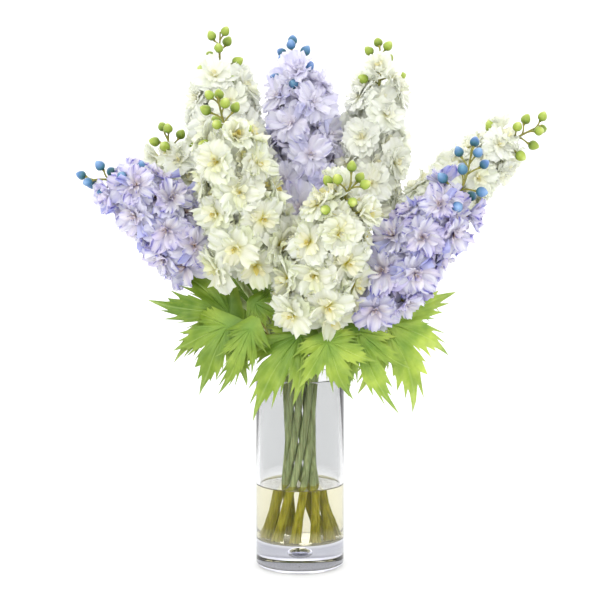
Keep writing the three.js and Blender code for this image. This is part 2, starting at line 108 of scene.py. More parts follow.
# %% The twelve leaves
LEAVES = [
    dict(name="front", spike="white_front", height=238, blade=(0, -62, 277),
         tip=(-60, -88, 194), face=(-0.1, -1, 0.3), spread=36, side=0.74, end=0.42),
    dict(name="front_right", spike="white_front", height=262, blade=(30, -80, 272),
         tip=(50, -98, 210), face=(0.1, -1, 0.3), spread=46, side=0.85, end=0.6),
    dict(name="right_low", spike="lavender_right", height=240, blade=(62, -55, 280),
         tip=(96, -80, 188), face=(0.2, -1, 0.2), spread=30, side=0.72, end=0.5),
    dict(name="right", spike="lavender_right", height=256, blade=(94, -30, 286),
         tip=(144, -36, 194), face=(0.1, -1, 0.2), spread=42, side=0.8, end=0.84),
    dict(name="back_right", spike="white_back_right", height=286, blade=(84, 56, 318),
         tip=(142, 96, 252), face=(0.5, 0.8, 0.6), spread=50, side=0.86, end=0.6),
    dict(name="back", spike="lavender_back", height=256, blade=(20, 64, 292),
         tip=(16, 116, 212), face=(0, 1, 0.6), spread=50, side=0.86, end=0.6),
    dict(name="back_left", spike="white_back_left", height=272, blade=(-40, 88, 300),
         tip=(-88, 130, 232), face=(-0.4, 1, 0.5), spread=50, side=0.86, end=0.6),
    dict(name="upper_left", spike="white_far_left", height=262, blade=(-52, 48, 298),
         tip=(-108, 56, 334), face=(-0.2, -1, 0.3), spread=48, side=0.9, end=0.7),
    dict(name="left", spike="lavender_left", height=262, blade=(-78, -26, 293),
         tip=(-167, -38, 306), face=(-0.2, -1, 0.3), spread=38, side=0.88, end=0.6),
    dict(name="left_low", spike="lavender_left", height=250, blade=(-80, -62, 286),
         tip=(-112, -76, 214), face=(-0.3, -1, 0.3), spread=46, side=0.85, end=0.6),
    dict(name="hanging", spike="white_left", height=240, blade=(-54, -82, 287),
         tip=(-83, -94, 213), face=(-0.3, -1, 0.1), spread=26, side=0.62, end=0.4),
    dict(name="centre", spike="white_left", height=262, blade=(-50, -50, 310),
         tip=(-4, -58, 286), face=(0, -1, 0.4), spread=34, side=0.66, end=0.5),
]

# %% From millimetres to metres
for spike in SPIKES:
    spike["flowers"] = [Vector(point) * MM for point in spike["flowers"]]
    spike["tip"] = Vector(spike["tip"]) * MM
    for key in ("petal", "stalk", "spray"):
        spike[key] = tuple(size * MM for size in spike[key])
for leaf in LEAVES:
    leaf["height"] *= MM
    leaf["blade"], leaf["tip"] = Vector(leaf["blade"]) * MM, Vector(leaf["tip"]) * MM
    leaf["face"] = Vector(leaf["face"])
print("florets", sum(spike["florets"] for spike in SPIKES), "buds", sum(spike["buds"] for spike in SPIKES))

# %% [markdown]
# ## How the stems run
# Cut stems in a vase cross at a waist, because each one leans on its neighbours. Straight lines that
# lean round an upright axis make exactly that waist. Above the mouth a Bezier curve carries each
# stem out to its flowers. The same three runs were used for the construction model, so the stems
# land in the bores of the water and on the floor of the vase.

# %% Curves
VASE = dict(radius=0.050, height=0.220, wall=0.004, base=0.032, foot_round=0.007, floor_round=0.004)
WATER_LEVEL = 0.095
STEM = dict(radius=0.0042, neck=0.0033, tip=0.0017, waist=0.014, waist_height=0.142, lean=0.24,
            upper_lean=0.13, bend=0.020, foot_lift=0.0011)
MOUTH_HEIGHT = 0.226
PEDICEL = 0.0009


def mix(a, b, share):
    """The value that lies a share of the way from a to b."""
    return a + (b - a) * share


def bezier(points, share):
    """A point of a Bezier curve, by halving its control polygon again and again."""
    while len(points) > 1:
        points = [a.lerp(b, share) for a, b in zip(points, points[1:])]
    return points[0]


def heading(points, share):
    """The direction of a Bezier curve."""
    return bezier([b - a for a, b in zip(points, points[1:])], share).normalized()


def lean_at(z):
    """How far a stem has leaned at height z. It leans more below the waist than above it."""
    above = z - STEM["waist_height"]
    eased = min(above, 0)
    if abs(above) < STEM["bend"]:
        eased = -(STEM["bend"] - above) ** 2 / (4 * STEM["bend"])
    return STEM["upper_lean"] * above + (STEM["lean"] - STEM["upper_lean"]) * eased


def stem_line(spike, z):
    """The run of a stem inside the vase."""
    angle = math.radians(spike["slot"]) - math.atan(lean_at(MOUTH_HEIGHT) / STEM["waist"])
    along = lean_at(z)
    return Vector((STEM["waist"] * math.cos(angle) - along * math.sin(angle),
                   STEM["waist"] * math.sin(angle) + along * math.cos(angle), z))


def neck_run(spike):
    """From the mouth of the vase to the first floret."""
    mouth = stem_line(spike, MOUTH_HEIGHT)
    first, second = spike["flowers"][:2]
    span = (first - mouth).length / 3
    up = (stem_line(spike, MOUTH_HEIGHT + MM) - mouth).normalized()
    into = (second - first).normalized()
    return [mouth, mouth + up * span, first - into * span, first]


def tip_run(spike):
    """The budding tip."""
    bend, top = spike["flowers"][1:]
    reach = (spike["tip"] - top).length / 2
    return [top, top + (top - bend).normalized() * reach, spike["tip"]]


def cross_axes(tangent):
    """Two directions square to a stem and to each other."""
    side = tangent.cross(Vector((0, 1, 0))).normalized()
    return side, tangent.cross(side)


print("stem foot", [round(c, 4) for c in stem_line(SPIKES[0], VASE["base"])])

# %% [markdown]
# ## Where each flower opens
# Florets leave the stem by the golden angle, which spreads them evenly. They are so crowded that
# they push each other aside until each has room, so the rule alone would look too regular. A few
# rounds of pushing apart and pulling home settle the heads as they do on the plant.

# %% Florets by rule
GOLDEN_ANGLE = math.radians(137.508)
FLORET_CLIMB = (8, 44)  # degrees that the lowest and the highest pedicel of a spike climb


def way_out(run, share, angle, climb):
    """A direction that leaves a run at a compass angle round it and climbs towards its tip."""
    tangent = heading(run, share)
    side, across = cross_axes(tangent)
    outward = side * math.cos(angle) + across * math.sin(angle)
    return outward * math.cos(climb) + tangent * math.sin(climb)


def open_heads():
    """Each floret at the end of a straight pedicel, where the rule puts it."""
    heads = []
    for spike in SPIKES:
        for k in range(spike["florets"]):
            share = (k + 0.5) / spike["florets"]
            climb = math.radians(mix(*FLORET_CLIMB, share ** 1.5))
            way = way_out(spike["flowers"], share, k * GOLDEN_ANGLE + math.radians(spike["slot"]), climb)
            root = bezier(spike["flowers"], share)
            stalk = mix(*spike["stalk"], share)
            heads.append(dict(spike=spike["name"], share=share, root=root, stalk=stalk,
                              tangent=heading(spike["flowers"], share), petal=mix(*spike["petal"], share),
                              home=root + way * stalk, head=root + way * stalk))
    return heads


print("first heads, mm", [[round(c / MM) for c in one["head"]] for one in open_heads()[:3]])

# %% Crowded florets
CROWDING = dict(rounds=40, samples=12, own_room=0.6, other_room=0.66, stem_room=0.6, push=0.25, pull=0.1)


def push_apart(one, other):
    """Two heads give way to each other by a part of the room that they lack."""
    apart = other["head"] - one["head"]
    room = CROWDING["own_room"] if one["spike"] == other["spike"] else CROWDING["other_room"]
    lacking = room * (one["petal"] + other["petal"]) - apart.length
    if lacking > 0:
        apart *= CROWDING["push"] * lacking / apart.length
        one["head"] -= apart
        other["head"] += apart


def push_off(one, point):
    """A head gives way to a point of another spike's stem."""
    apart = one["head"] - point
    lacking = CROWDING["stem_room"] * one["petal"] - apart.length
    if lacking > 0:
        one["head"] += apart * (CROWDING["push"] * lacking / apart.length)


def crowded_heads():
    """The heads after all rounds. A head stays at the end of its pedicel."""
    heads, samples = open_heads(), CROWDING["samples"]
    stems = [(spike["name"], bezier(run, i / samples))
             for spike in SPIKES for run in (neck_run(spike), spike["flowers"]) for i in range(samples + 1)]
    for _ in range(CROWDING["rounds"]):
        for i, one in enumerate(heads):
            for other in heads[i + 1:]:
                push_apart(one, other)
        for one in heads:
            for name, point in stems:
                if name != one["spike"]:
                    push_off(one, point)
            one["head"] = one["head"].lerp(one["home"], CROWDING["pull"])
            one["head"] = one["root"] + (one["head"] - one["root"]).normalized() * one["stalk"]
    return heads


HEADS = crowded_heads()
print("mean shift of a head, mm:",
      round(sum((one["head"] - one["home"]).length for one in HEADS) / len(HEADS) / MM, 1))

# %% [markdown]
# ## Small tools for node trees
# Node trees are only lists of nodes and links, so a few helpers keep them readable. `add` makes a
# node and feeds its inputs. `grow` runs a Geometry Nodes tree on a mesh and keeps the result as a
# plain mesh, because a modifier or an instance doesn't survive an export.

# %% Helpers for trees
def add(tree, kind, inputs=(), **settings):
    """A new node, set up, with its inputs fed by values or by other nodes' outputs."""
    node = tree.nodes.new(kind)
    for key, value in settings.items():
        setattr(node, key, value)
    for key, value in dict(inputs).items():
        if isinstance(value, bpy.types.NodeSocket):
            tree.links.new(value, node.inputs[key])
        else:
            node.inputs[key].default_value = value
    return node


def geometry_tree(name, inputs):
    """An empty tree with these named inputs, and its group input node."""
    tree = bpy.data.node_groups.new(name, "GeometryNodeTree")
    tree.interface.new_socket("Geometry", in_out="INPUT", socket_type="NodeSocketGeometry")
    for label, kind in inputs.items():
        tree.interface.new_socket(label, in_out="INPUT", socket_type="NodeSocket" + kind)
    tree.interface.new_socket("Geometry", in_out="OUTPUT", socket_type="NodeSocketGeometry")
    return tree, tree.nodes.new("NodeGroupInput").outputs


def end_tree(tree, geometry, material):
    """Every tree ends with real geometry that carries its material."""
    real = add(tree, "GeometryNodeRealizeInstances", {0: geometry})
    painted = add(tree, "GeometryNodeSetMaterial", {0: real.outputs[0], "Material": material})
    tree.links.new(painted.outputs[0], tree.nodes.new("NodeGroupOutput").inputs[0])


def named(tree, attribute, kind="FLOAT"):
    """A value that the points of a mesh carry, for a geometry tree."""
    return add(tree, "GeometryNodeInputNamedAttribute", {"Name": attribute}, data_type=kind).outputs[0]


def link_object(name, mesh):
    """A new object in the scene that shows a mesh."""
    thing = bpy.data.objects.new(name, mesh)
    bpy.context.scene.collection.objects.link(thing)
    return thing


def grow(tree, mesh, name, inputs):
    """Runs a tree on a mesh and keeps the result as a plain mesh in a new object."""
    seed = link_object(name + "_seed", mesh)
    modifier = seed.modifiers.new("grow", "NODES")
    modifier.node_group = tree
    for item in tree.interface.items_tree:
        if item.in_out == "INPUT" and item.name in inputs:
            modifier[item.identifier] = inputs[item.name]
    depsgraph = bpy.context.evaluated_depsgraph_get()
    grown = bpy.data.meshes.new_from_object(
        seed.evaluated_get(depsgraph), preserve_all_data_layers=True, depsgraph=depsgraph)
    seed.modifiers.remove(modifier)
    bpy.data.objects.remove(seed)
    return link_object(name, grown)


# %% [markdown]
# ## Helpers for materials
# Every finish here is procedural. The pattern follows numbers that are stored on the mesh, such as
# how far along a petal a point lies, so it bends and turns with the petal. A colour is written as a
# hex code, as a painter's swatch is, and turned into the linear light that the shader needs.

# %% Colour and shader helpers
def rgb(code):
    """A linear colour from a hex code, by the standard sRGB curve."""
    parts = [int(code[i:i + 2], 16) / 255 for i in (0, 2, 4)]
    return (*[c / 12.92 if c <= 0.04045 else ((c + 0.055) / 1.055) ** 2.4 for c in parts], 1)


def new_material(name, **sockets):
    """A material, its tree and its shader, with the shader's plain sockets set."""
    material = bpy.data.materials.new(name)
    material.use_nodes = True
    shader = material.node_tree.nodes["Principled BSDF"]
    for key, value in sockets.items():
        shader.inputs[key.replace("_", " ").title().replace("Ior", "IOR")].default_value = value
    return material, material.node_tree, shader


def ramp(tree, factor, stops):
    """A colour ramp from pairs of place and hex code."""
    node = add(tree, "ShaderNodeValToRGB", {"Fac": factor})
    elements = node.color_ramp.elements
    while len(elements) < len(stops):
        elements.new(0.5)
    for element, (place, code) in zip(elements, stops):
        element.position = place
        element.color = rgb(code)
    return node.outputs["Color"]


def blend(tree, factor, first, second, how="MIX"):
    """Two colours mixed. A hex code stands for a plain colour. 6 and 7 are the node's colour sockets."""
    first, second = (rgb(c) if isinstance(c, str) else c for c in (first, second))
    node = add(tree, "ShaderNodeMix", {0: factor, 6: first, 7: second}, data_type="RGBA", blend_type=how)
    return node.outputs[2]


def maths(tree, operation, *values, clamp=False):
    """The outcome of one operation on numbers."""
    node = add(tree, "ShaderNodeMath", dict(enumerate(values)), operation=operation, use_clamp=clamp)
    return node.outputs[0]


def stored(tree, attribute):
    """A number that the mesh carries, for a material."""
    return add(tree, "ShaderNodeAttribute", attribute_name=attribute).outputs["Fac"]


def noise(tree, scale, detail=3.0, vector=None):
    """Noise on the object's own coordinates, or on a vector."""
    if vector is None:
        vector = add(tree, "ShaderNodeTexCoord").outputs["Object"]
    inputs = {"Vector": vector, "Scale": scale, "Detail": detail}
    return add(tree, "ShaderNodeTexNoise", inputs).outputs["Fac"]


def bump(tree, shader, height, strength, distance):
    """Small relief that only the shading shows. distance is its depth in metres."""
    node = add(tree, "ShaderNodeBump", {"Height": height, "Strength": strength, "Distance": distance})
    tree.links.new(node.outputs[0], shader.inputs["Normal"])


# %% [markdown]
# ## Petal tissue
# A delphinium petal is so thin that light which falls on one side glows through the other. A
# little more than half of the surface is therefore a translucent shader, and the rest scatters light
# under its skin. Without that share the gaps between the petals go grey. Colour changes along the
# petal: it is deeper in the throat and pale at the rim, and fine veins run lengthwise. The hollows
# of the ruffles get painted shade, so `fold` says how far a point stands above what lies beside it.
# Every petal has its own random tone. `rank` tells the outer petals from those at the heart, and
# `shade` how much paler a floret is painted the further back it stands, which is painted light.

# %% The finish of a petal
GLOW_SHARE = 0.56
PAINTED_PALING = 0.85  # how far the florets furthest back are painted towards pale, which is painted light
VEINS = dict(across=9.0, along=1.3, by_petal=40.0)  # how often the vein pattern changes each way


def petal_material(name, petal_stops, heart_stops, painted_crease_shade, tints, vein_colour, vein_strength, pale,
                   heart_power):
    """Stops are colours along a petal, the fold colours paint shade into the hollows, and pale is painted
    light for florets at the back.
    """
    material, tree, shader = new_material(
        name, roughness=0.62, subsurface_weight=0.3, subsurface_scale=0.003, specular_ior_level=0.2)
    shader.inputs["Subsurface Radius"].default_value = (1.0, 0.9, 0.8)
    along, across, rank, tone = (stored(tree, key) for key in ("along", "across", "rank", "tone"))
    skin = ramp(tree, along, petal_stops)
    heart = ramp(tree, along, heart_stops)
    colour = blend(tree, maths(tree, "POWER", rank, heart_power), skin, heart)
    tint = ramp(tree, tone, [(i / (len(tints) - 1), code) for i, code in enumerate(tints)])
    colour = blend(tree, maths(tree, "SMOOTH_MIN", along, 0.8, 0.3), colour, tint, "MULTIPLY")
    streaks = add(tree, "ShaderNodeCombineXYZ", {
        0: maths(tree, "MULTIPLY", across, VEINS["across"]),
        1: maths(tree, "MULTIPLY", along, VEINS["along"]),
        2: maths(tree, "MULTIPLY", tone, VEINS["by_petal"])}).outputs[0]
    veins = noise(tree, scale=1.0, detail=2.0, vector=streaks)
    lines = ramp(tree, veins, [(0.38, "FFFFFF"), (0.5, "000000"), (0.62, "FFFFFF")])
    colour = blend(tree, vein_strength, colour, blend(tree, lines, vein_colour, "FFFFFF"), "MULTIPLY")
    # Painted shade: the hollows of the ruffles are darker, by how far a point lies below what is beside it.
    colour = blend(tree, 1.0, colour, ramp(tree, stored(tree, "fold"), painted_crease_shade), "MULTIPLY")
    # Painted light: a floret further back is painted towards the pale colour, for the light it lacks.
    painted_paling = maths(tree, "MULTIPLY", stored(tree, "shade"), PAINTED_PALING)
    colour = blend(tree, painted_paling, colour, pale)
    tree.links.new(colour, shader.inputs["Base Color"])
    bump(tree, shader, veins, strength=0.3, distance=0.0005)
    glow = add(tree, "ShaderNodeBsdfTranslucent", {"Color": colour})
    either = add(tree, "ShaderNodeMixShader", {0: GLOW_SHARE, 1: shader.outputs[0], 2: glow.outputs[0]})
    tree.links.new(either.outputs[0], tree.nodes["Material Output"].inputs["Surface"])
    return material


# %% White and lavender petals
WHITE_PETAL = petal_material(
    "white_petal", vein_colour="F2F2E6", vein_strength=0.35, pale="FCFDFA", heart_power=5.5,
    petal_stops=[(0.0, "E2DA3C"), (0.09, "F3EC84"), (0.2, "FBFBDC"), (0.36, "FCFDF6"), (1.0, "FBFCF8")],
    heart_stops=[(0.0, "D8CC18"), (0.5, "EEDA1A"), (0.85, "F5E228"), (1.0, "FAEC5C")],
    painted_crease_shade=[(0.05, "F2F5DA"), (0.4, "FEFEFA"), (0.6, "FFFFFF")],
    tints=["F7FAEA", "FFFFFF", "FDFFFF", "FCFCFE", "FFFFFC"])
LAVENDER_PETAL = petal_material(
    "lavender_petal", vein_colour="C8C6E8", vein_strength=0.2, pale="F9F8FF", heart_power=3.5,
    petal_stops=[(0.0, "8A84C4"), (0.10, "CCCAE6"), (0.30, "F5F5F9"), (0.75, "FDFDFE"), (1.0, "F5F5FA")],
    heart_stops=[(0.0, "845830"), (0.32, "DCAE62"), (0.6, "F8EED4"), (1.0, "FFFCF6")],
    painted_crease_shade=[(0.06, "9490E0"), (0.38, "F6F5FE"), (0.6, "FFFFFF")],
    tints=["BCC2F0", "FBFBFF", "FFFFFF", "FFFAFD", "EEE8FC", "FFFFFF", "FEFEFF"])
print("petal nodes", len(WHITE_PETAL.node_tree.nodes))

# %% [markdown]
# ## Buds, leaves and stems
# Buds darken towards the stalk and are pale at the nose, and the pale nose is partly a painted
# highlight. A leaf is yellow-green, with lighter veins that run down the middle of each lobe, and
# painted shade near its heel. The stems are a greyed green in air. Under the water line they look
# olive, because the water is faintly yellow, and cut stems lose their bloom there. The glass is
# tinted more above the water line: a dry wall has two faces that reflect, and a wet one has one.

# %% Buds
def bud_material(name, stops, tints):
    """stops: colours from the stalk to the nose. tints: how the buds differ from each other."""
    material, tree, shader = new_material(
        name, roughness=0.38, subsurface_weight=0.12, subsurface_scale=0.002, specular_ior_level=0.45)
    along, tone = stored(tree, "along"), stored(tree, "shade")
    # The buds' own colour from stalk to nose, with a painted highlight where the nose is pale.
    colour = ramp(tree, along, stops)
    tint = ramp(tree, tone, [(i / (len(tints) - 1), code) for i, code in enumerate(tints)])
    colour = blend(tree, 0.8, colour, tint, "MULTIPLY")
    mottle = noise(tree, scale=420.0)
    colour = blend(tree, maths(tree, "MULTIPLY", mottle, 0.25), colour, "FFFFFF", "SOFT_LIGHT")
    tree.links.new(colour, shader.inputs["Base Color"])
    bump(tree, shader, mottle, strength=0.12, distance=0.0005)
    return material


GREEN_BUD = bud_material("green_bud", [(0.0, "566A22"), (0.3, "7A8E30"), (0.75, "94A640"), (1.0, "BCC878")],
                         ["DCE4C0", "FFFFFF", "FFFFFF", "FFFCE4"])
BLUE_BUD = bud_material("blue_bud", [(0.0, "1A4244"), (0.25, "2E606C"), (0.6, "48709A"), (1.0, "82A2CA")],
                        ["A4D4C4", "FFFFFF", "DDE4FF", "FFFFFF"])
print("bud nodes", len(GREEN_BUD.node_tree.nodes))


# %% Leaves
def leaf_material():
    """Patches of green, toned darker on the leaves further left, paler over its veins and with painted
    shade near its heel.
    """
    material, tree, shader = new_material(
        "leaf", roughness=0.48, subsurface_weight=0.15, subsurface_scale=0.0012, specular_ior_level=0.35)
    shader.inputs["Subsurface Radius"].default_value = (0.9, 1.0, 0.5)
    vein, tone, depth = stored(tree, "vein"), stored(tree, "shade"), stored(tree, "along")
    patches = noise(tree, scale=38.0, detail=4.0)
    green = ramp(tree, patches, [(0.3, "6E922C"), (0.5, "92AC3C"), (0.7, "B4C852")])
    green = blend(tree, maths(tree, "MULTIPLY", tone, 0.9), green, "B0BC98", "MULTIPLY")
    green = blend(tree, maths(tree, "MULTIPLY", vein, 0.4), green, "BCD080")
    # Painted shade: the green darkens towards the heel of the blade.
    green = blend(tree, maths(tree, "SUBTRACT", 0.5, depth, clamp=True), green, "5F8A34")
    tree.links.new(green, shader.inputs["Base Color"])
    height = maths(tree, "SUBTRACT", noise(tree, scale=520.0), maths(tree, "MULTIPLY", vein, 1.2))
    bump(tree, shader, height, strength=0.3, distance=0.0008)
    return material


LEAF = leaf_material()
print("leaf nodes", len(LEAF.node_tree.nodes))


# %% Wet and dry parts of a stem
WATER_EDGE = 0.001  # how far from the water line the colour has changed
FRAYED = 0.014  # how far above its cut foot a stem is still split all round


def height_of(tree):
    """The height above the table."""
    place = add(tree, "ShaderNodeTexCoord").outputs["Object"]
    return add(tree, "ShaderNodeSeparateXYZ", {0: place}).outputs["Z"]


def below_water(tree):
    """1 below the water line and 0 above it."""
    return add(tree, "ShaderNodeMapRange", {
        "Value": height_of(tree), "From Min": WATER_LEVEL + WATER_EDGE,
        "From Max": WATER_LEVEL - WATER_EDGE}).outputs[0]


def near_floor(tree):
    """1 at the cut feet and 0 a little above them, where the strands are still whole."""
    return add(tree, "ShaderNodeMapRange", {
        "Value": height_of(tree), "From Min": VASE["base"] + FRAYED, "From Max": VASE["base"]}).outputs[0]


# %% Stems and stalks
def stem_material(name, air, water, spots):
    """air and water: the dark and the light of the grain above and below the water line."""
    material, tree, shader = new_material(
        name, roughness=0.5, subsurface_weight=0.08, subsurface_scale=0.001, specular_ior_level=0.15)
    place = add(tree, "ShaderNodeTexCoord").outputs["Object"]
    streaks = add(tree, "ShaderNodeMapping", {"Vector": place, "Scale": (1, 1, 0.06)}).outputs[0]
    grain = noise(tree, scale=450.0, vector=streaks)
    wet = blend(tree, maths(tree, "MULTIPLY", near_floor(tree), 0.8), ramp(tree, grain, water), "F2EECC")
    colour = blend(tree, below_water(tree), ramp(tree, grain, air), wet)
    colour = blend(tree, maths(tree, "MULTIPLY", noise(tree, scale=60.0), 0.35), colour, spots, "MULTIPLY")
    tree.links.new(colour, shader.inputs["Base Color"])
    bump(tree, shader, grain, strength=0.25, distance=0.0005)
    return material


WET = [(0.3, "84801A"), (0.7, "BAB63C")]
STEM_SKIN = stem_material("stem", [(0.3, "7E8A58"), (0.7, "C6D49A")], WET, "CCCCA0")
STALK_SKIN = stem_material("stalk", [(0.3, "6E7234"), (0.7, "A09E54")], WET, "C09068")
print("stem nodes", len(STEM_SKIN.node_tree.nodes))


# %% Glass and water
def clear_material(name, ior, zones):
    """Clear matter that lets direct light through. zones: colours by height, as a share of the vase."""
    material, tree, shader = new_material(name, roughness=0.0, ior=ior, transmission_weight=1.0)
    if len(zones) == 1:
        shader.inputs["Base Color"].default_value = rgb(zones[0][1])
    else:
        share = maths(tree, "DIVIDE", height_of(tree), VASE["height"])
        tree.links.new(ramp(tree, share, zones), shader.inputs["Base Color"])
    path = add(tree, "ShaderNodeLightPath")
    through = add(tree, "ShaderNodeBsdfTransparent", {"Color": rgb("FCFCFC")})
    either = add(tree, "ShaderNodeMixShader", {
        0: path.outputs["Is Shadow Ray"], 1: shader.outputs[0], 2: through.outputs[0]})
    tree.links.new(either.outputs[0], tree.nodes["Material Output"].inputs["Surface"])
    return material


floor_share, water_share = VASE["base"] / VASE["height"], WATER_LEVEL / VASE["height"]
# Painted shade and reflection: the dark band on the rounded foot and the grey of the solid base stand in
# for the dark reflections seen in thick glass, and the dry wall's grey for the light its two reflecting
# faces lose.
GLASS = clear_material("glass", 1.5, [
    (0.0, "DADBE2"), (0.004, "9C9CA2"), (0.022, "9C9CA2"), (0.035, "DADBE2"),  # the rounded foot
    (0.08, "B4B5C0"), (floor_share - 0.01, "B4B5C0"),  # the solid base
    (floor_share, "FAFAFA"), (water_share, "FAFAFA"), (water_share + 0.06, "DBDCDC")])  # wet, then dry
WATER = clear_material("water", 1.333, [(0, "E6E2C6")])
for material in (GLASS, WATER):
    material.node_tree.nodes["Principled BSDF"].inputs["Specular Tint"].default_value = rgb("787878")
print("glass nodes", len(GLASS.node_tree.nodes), "water nodes", len(WATER.node_tree.nodes))

# %% [markdown]
# ## Blades: petals and bracts
# A petal is a thin skin with a rim, so it is made as two curved sheets that share their outline.
# It has a few dozen faces only, because it is repeated thousands of times. Its torn rim and its
# ruffles are real geometry. Each petal lies along +Y with its upper side to +Z, and is one unit long.

# %% Values and rims
MERGE = 1e-7  # points that are closer than this are one
RIM_ANGLE = math.radians(100)


def store(mesh, name, values, kind="FLOAT"):
    """Stores one value for each vertex."""
    flat = [part for value in values for part in value] if kind == "QUATERNION" else list(values)
    mesh.attributes.new(name, kind, "POINT").data.foreach_set("value", flat)


def crease_rim(mesh):
    """The rim stays crisp: the shading of the upper side doesn't run over to the lower one."""
    body = bmesh.new()
    body.from_mesh(mesh)
    bmesh.ops.remove_doubles(body, verts=body.verts, dist=MERGE)
    for edge in body.edges:
        if len(edge.link_faces) == 2 and edge.calc_face_angle(0) > RIM_ANGLE:
            edge.smooth = False
    body.to_mesh(mesh)
    body.free()


# %% A closed blade from a rule
FOLD = dict(reach=0.25, depth=4.5)  # how far aside a fold is measured, and how strongly it counts


def fold_at(place, u, v):
    """How far a blade stands above what lies beside it: near 1 on a crest and near 0 in a crease."""
    beside = place(max(-1, u - FOLD["reach"]), v).z + place(min(1, u + FOLD["reach"]), v).z
    return 0.5 + FOLD["depth"] * (place(u, v).z - beside / 2)


def closed_blade(name, columns, rows, place, thickness):
    """A blade over a grid of cells. place gives its middle surface for u from -1 to 1 and v from 0 to 1."""
    points, across, along, fold, faces = [], [], [], [], []
    skins = [{}, {}]
    for side, sign in enumerate((0.5, -0.5)):
        for j in range(rows + 1):
            for i in range(columns + 1):
                rim = i in (0, columns) or j in (0, rows)
                if side and rim:
                    skins[1][i, j] = skins[0][i, j]
                    continue
                u, v = 2 * i / columns - 1, j / rows
                skins[side][i, j] = len(points)
                points.append(place(u, v) + Vector((0, 0, 0 if rim else sign * thickness)))
                across.append(u)
                along.append(v)
                fold.append(fold_at(place, u, v))
    for j in range(rows):
        for i in range(columns):
            cell = [(i, j), (i + 1, j), (i + 1, j + 1), (i, j + 1)]
            faces.append([skins[0][c] for c in cell])
            faces.append([skins[1][c] for c in reversed(cell)])
    mesh = bpy.data.meshes.new(name)
    mesh.from_pydata(points, [], faces, shade_flat=False)
    store(mesh, "across", across)
    store(mesh, "along", along)
    store(mesh, "fold", fold)
    crease_rim(mesh)
    return mesh


# %% The shape of a petal
PETAL = dict(claw=0.18, widest=0.7, beyond=0.3, pinch=0.24, round_tip=0.17)


def petal_rule(draw, wide, torn, ruffle, cup, bend):
    """The middle surface of one petal: a narrow claw that widens to a torn, ruffled plate."""
    tip = [torn * draw.uniform(0.4, 1.0) * (-1) ** i for i in range(9)]
    flank = [torn * draw.uniform(0.3, 1.2) * (-1) ** i for i in range(5)]
    phase, waves, twist = draw.uniform(0, 6), draw.uniform(1.6, 2.5), draw.uniform(-0.2, 0.2)

    def place(u, v):
        """A point of the surface. u runs across the petal and v along it."""
        pinch = 1 - PETAL["pinch"] * max(0, (v - PETAL["widest"]) / PETAL["beyond"]) ** 2
        swell = math.sin(min(1, v / PETAL["widest"]) * math.pi / 2)
        half = 0.5 * wide * (PETAL["claw"] + 0.82 * swell) * pinch
        half *= 1 + flank[round(4 * v)] * v * u * u
        reach = v * (1 - PETAL["round_tip"] * u * u * v) + (tip[round(4 * u) + 4] if v == 1 else 0)
        rise = cup * u * u * v - bend * v * v + twist * u * v
        rise += ruffle * v * v * math.sin(waves * u * math.pi + phase) * (0.4 + 0.6 * abs(u))
        return Vector((u * half, reach, rise))
    return place


# %% Kinds of petal
PETAL_KINDS = [  # wide, torn, ruffle, cup, bend, from the outermost petal to the heart
    dict(wide=0.90, torn=0.055, ruffle=0.12, cup=0.02, bend=0.12),
    dict(wide=0.84, torn=0.060, ruffle=0.14, cup=0.06, bend=0.06),
    dict(wide=0.78, torn=0.060, ruffle=0.15, cup=0.08, bend=0.00),
    dict(wide=0.68, torn=0.065, ruffle=0.17, cup=0.12, bend=-0.04),
    dict(wide=0.52, torn=0.080, ruffle=0.16, cup=0.20, bend=-0.08),
    dict(wide=0.36, torn=0.090, ruffle=0.10, cup=0.30, bend=-0.16),
]
LARGE_PETALS, LARGE_CELLS, SMALL_CELLS = 4, (8, 4), (4, 4)  # the last two kinds are small and need less
PETAL_THICKNESS = 0.02


def prototypes(name, meshes):
    """Keeps the patterns that a tree repeats in a collection of their own, outside the scene."""
    store_room = bpy.data.collections.new(name)
    for i, mesh in enumerate(meshes):
        store_room.objects.link(bpy.data.objects.new(f"{name}_{i:02d}", mesh))
    return store_room


# %% The petals of each colour
def petal_patterns(colour, seed, **shares):
    """Six petals of one colour. Each share scales one measure of their shape."""
    draw = random.Random(seed)
    meshes = []
    for i, kind in enumerate(PETAL_KINDS):
        shape = dict(kind, **{key: kind[key] * share for key, share in shares.items()})
        cells = LARGE_CELLS if i < LARGE_PETALS else SMALL_CELLS
        rule = petal_rule(draw, **shape)
        meshes.append(closed_blade(f"{colour}_petal_{i}", *cells, rule, PETAL_THICKNESS))
    return prototypes(f"{colour}_petals", meshes)


PETALS = {"white": petal_patterns("white", 3, wide=1.2, torn=1.0, ruffle=0.85),
          "lavender": petal_patterns("lavender", 5, wide=1.05, torn=0.8, ruffle=1.1)}

# %% [markdown]
# ## A double floret, by rule
# A double delphinium floret is a rosette: petals set by the golden angle, lying nearly flat outside
# and standing up at the heart. The change comes late, so that half of the petals stay long and flat.
# Copying petals onto numbered points is a job for Geometry Nodes. The tree turns a count of points
# into a rosette, and its named inputs set how open the flower is.

# %% The rosette tree
HEART_SHARES = (0.45, 0.86)  # petals up to the first are long and flat, past the second they are the heart
LOOSE = dict(turn=0.22, pitch=0.2, roll=0.3, kind=0.4)  # how far a petal strays from the rule
LENGTHS = (0.78, 1.08)  # the shortest and the longest petal of a kind
SEED_STEP = 17.0


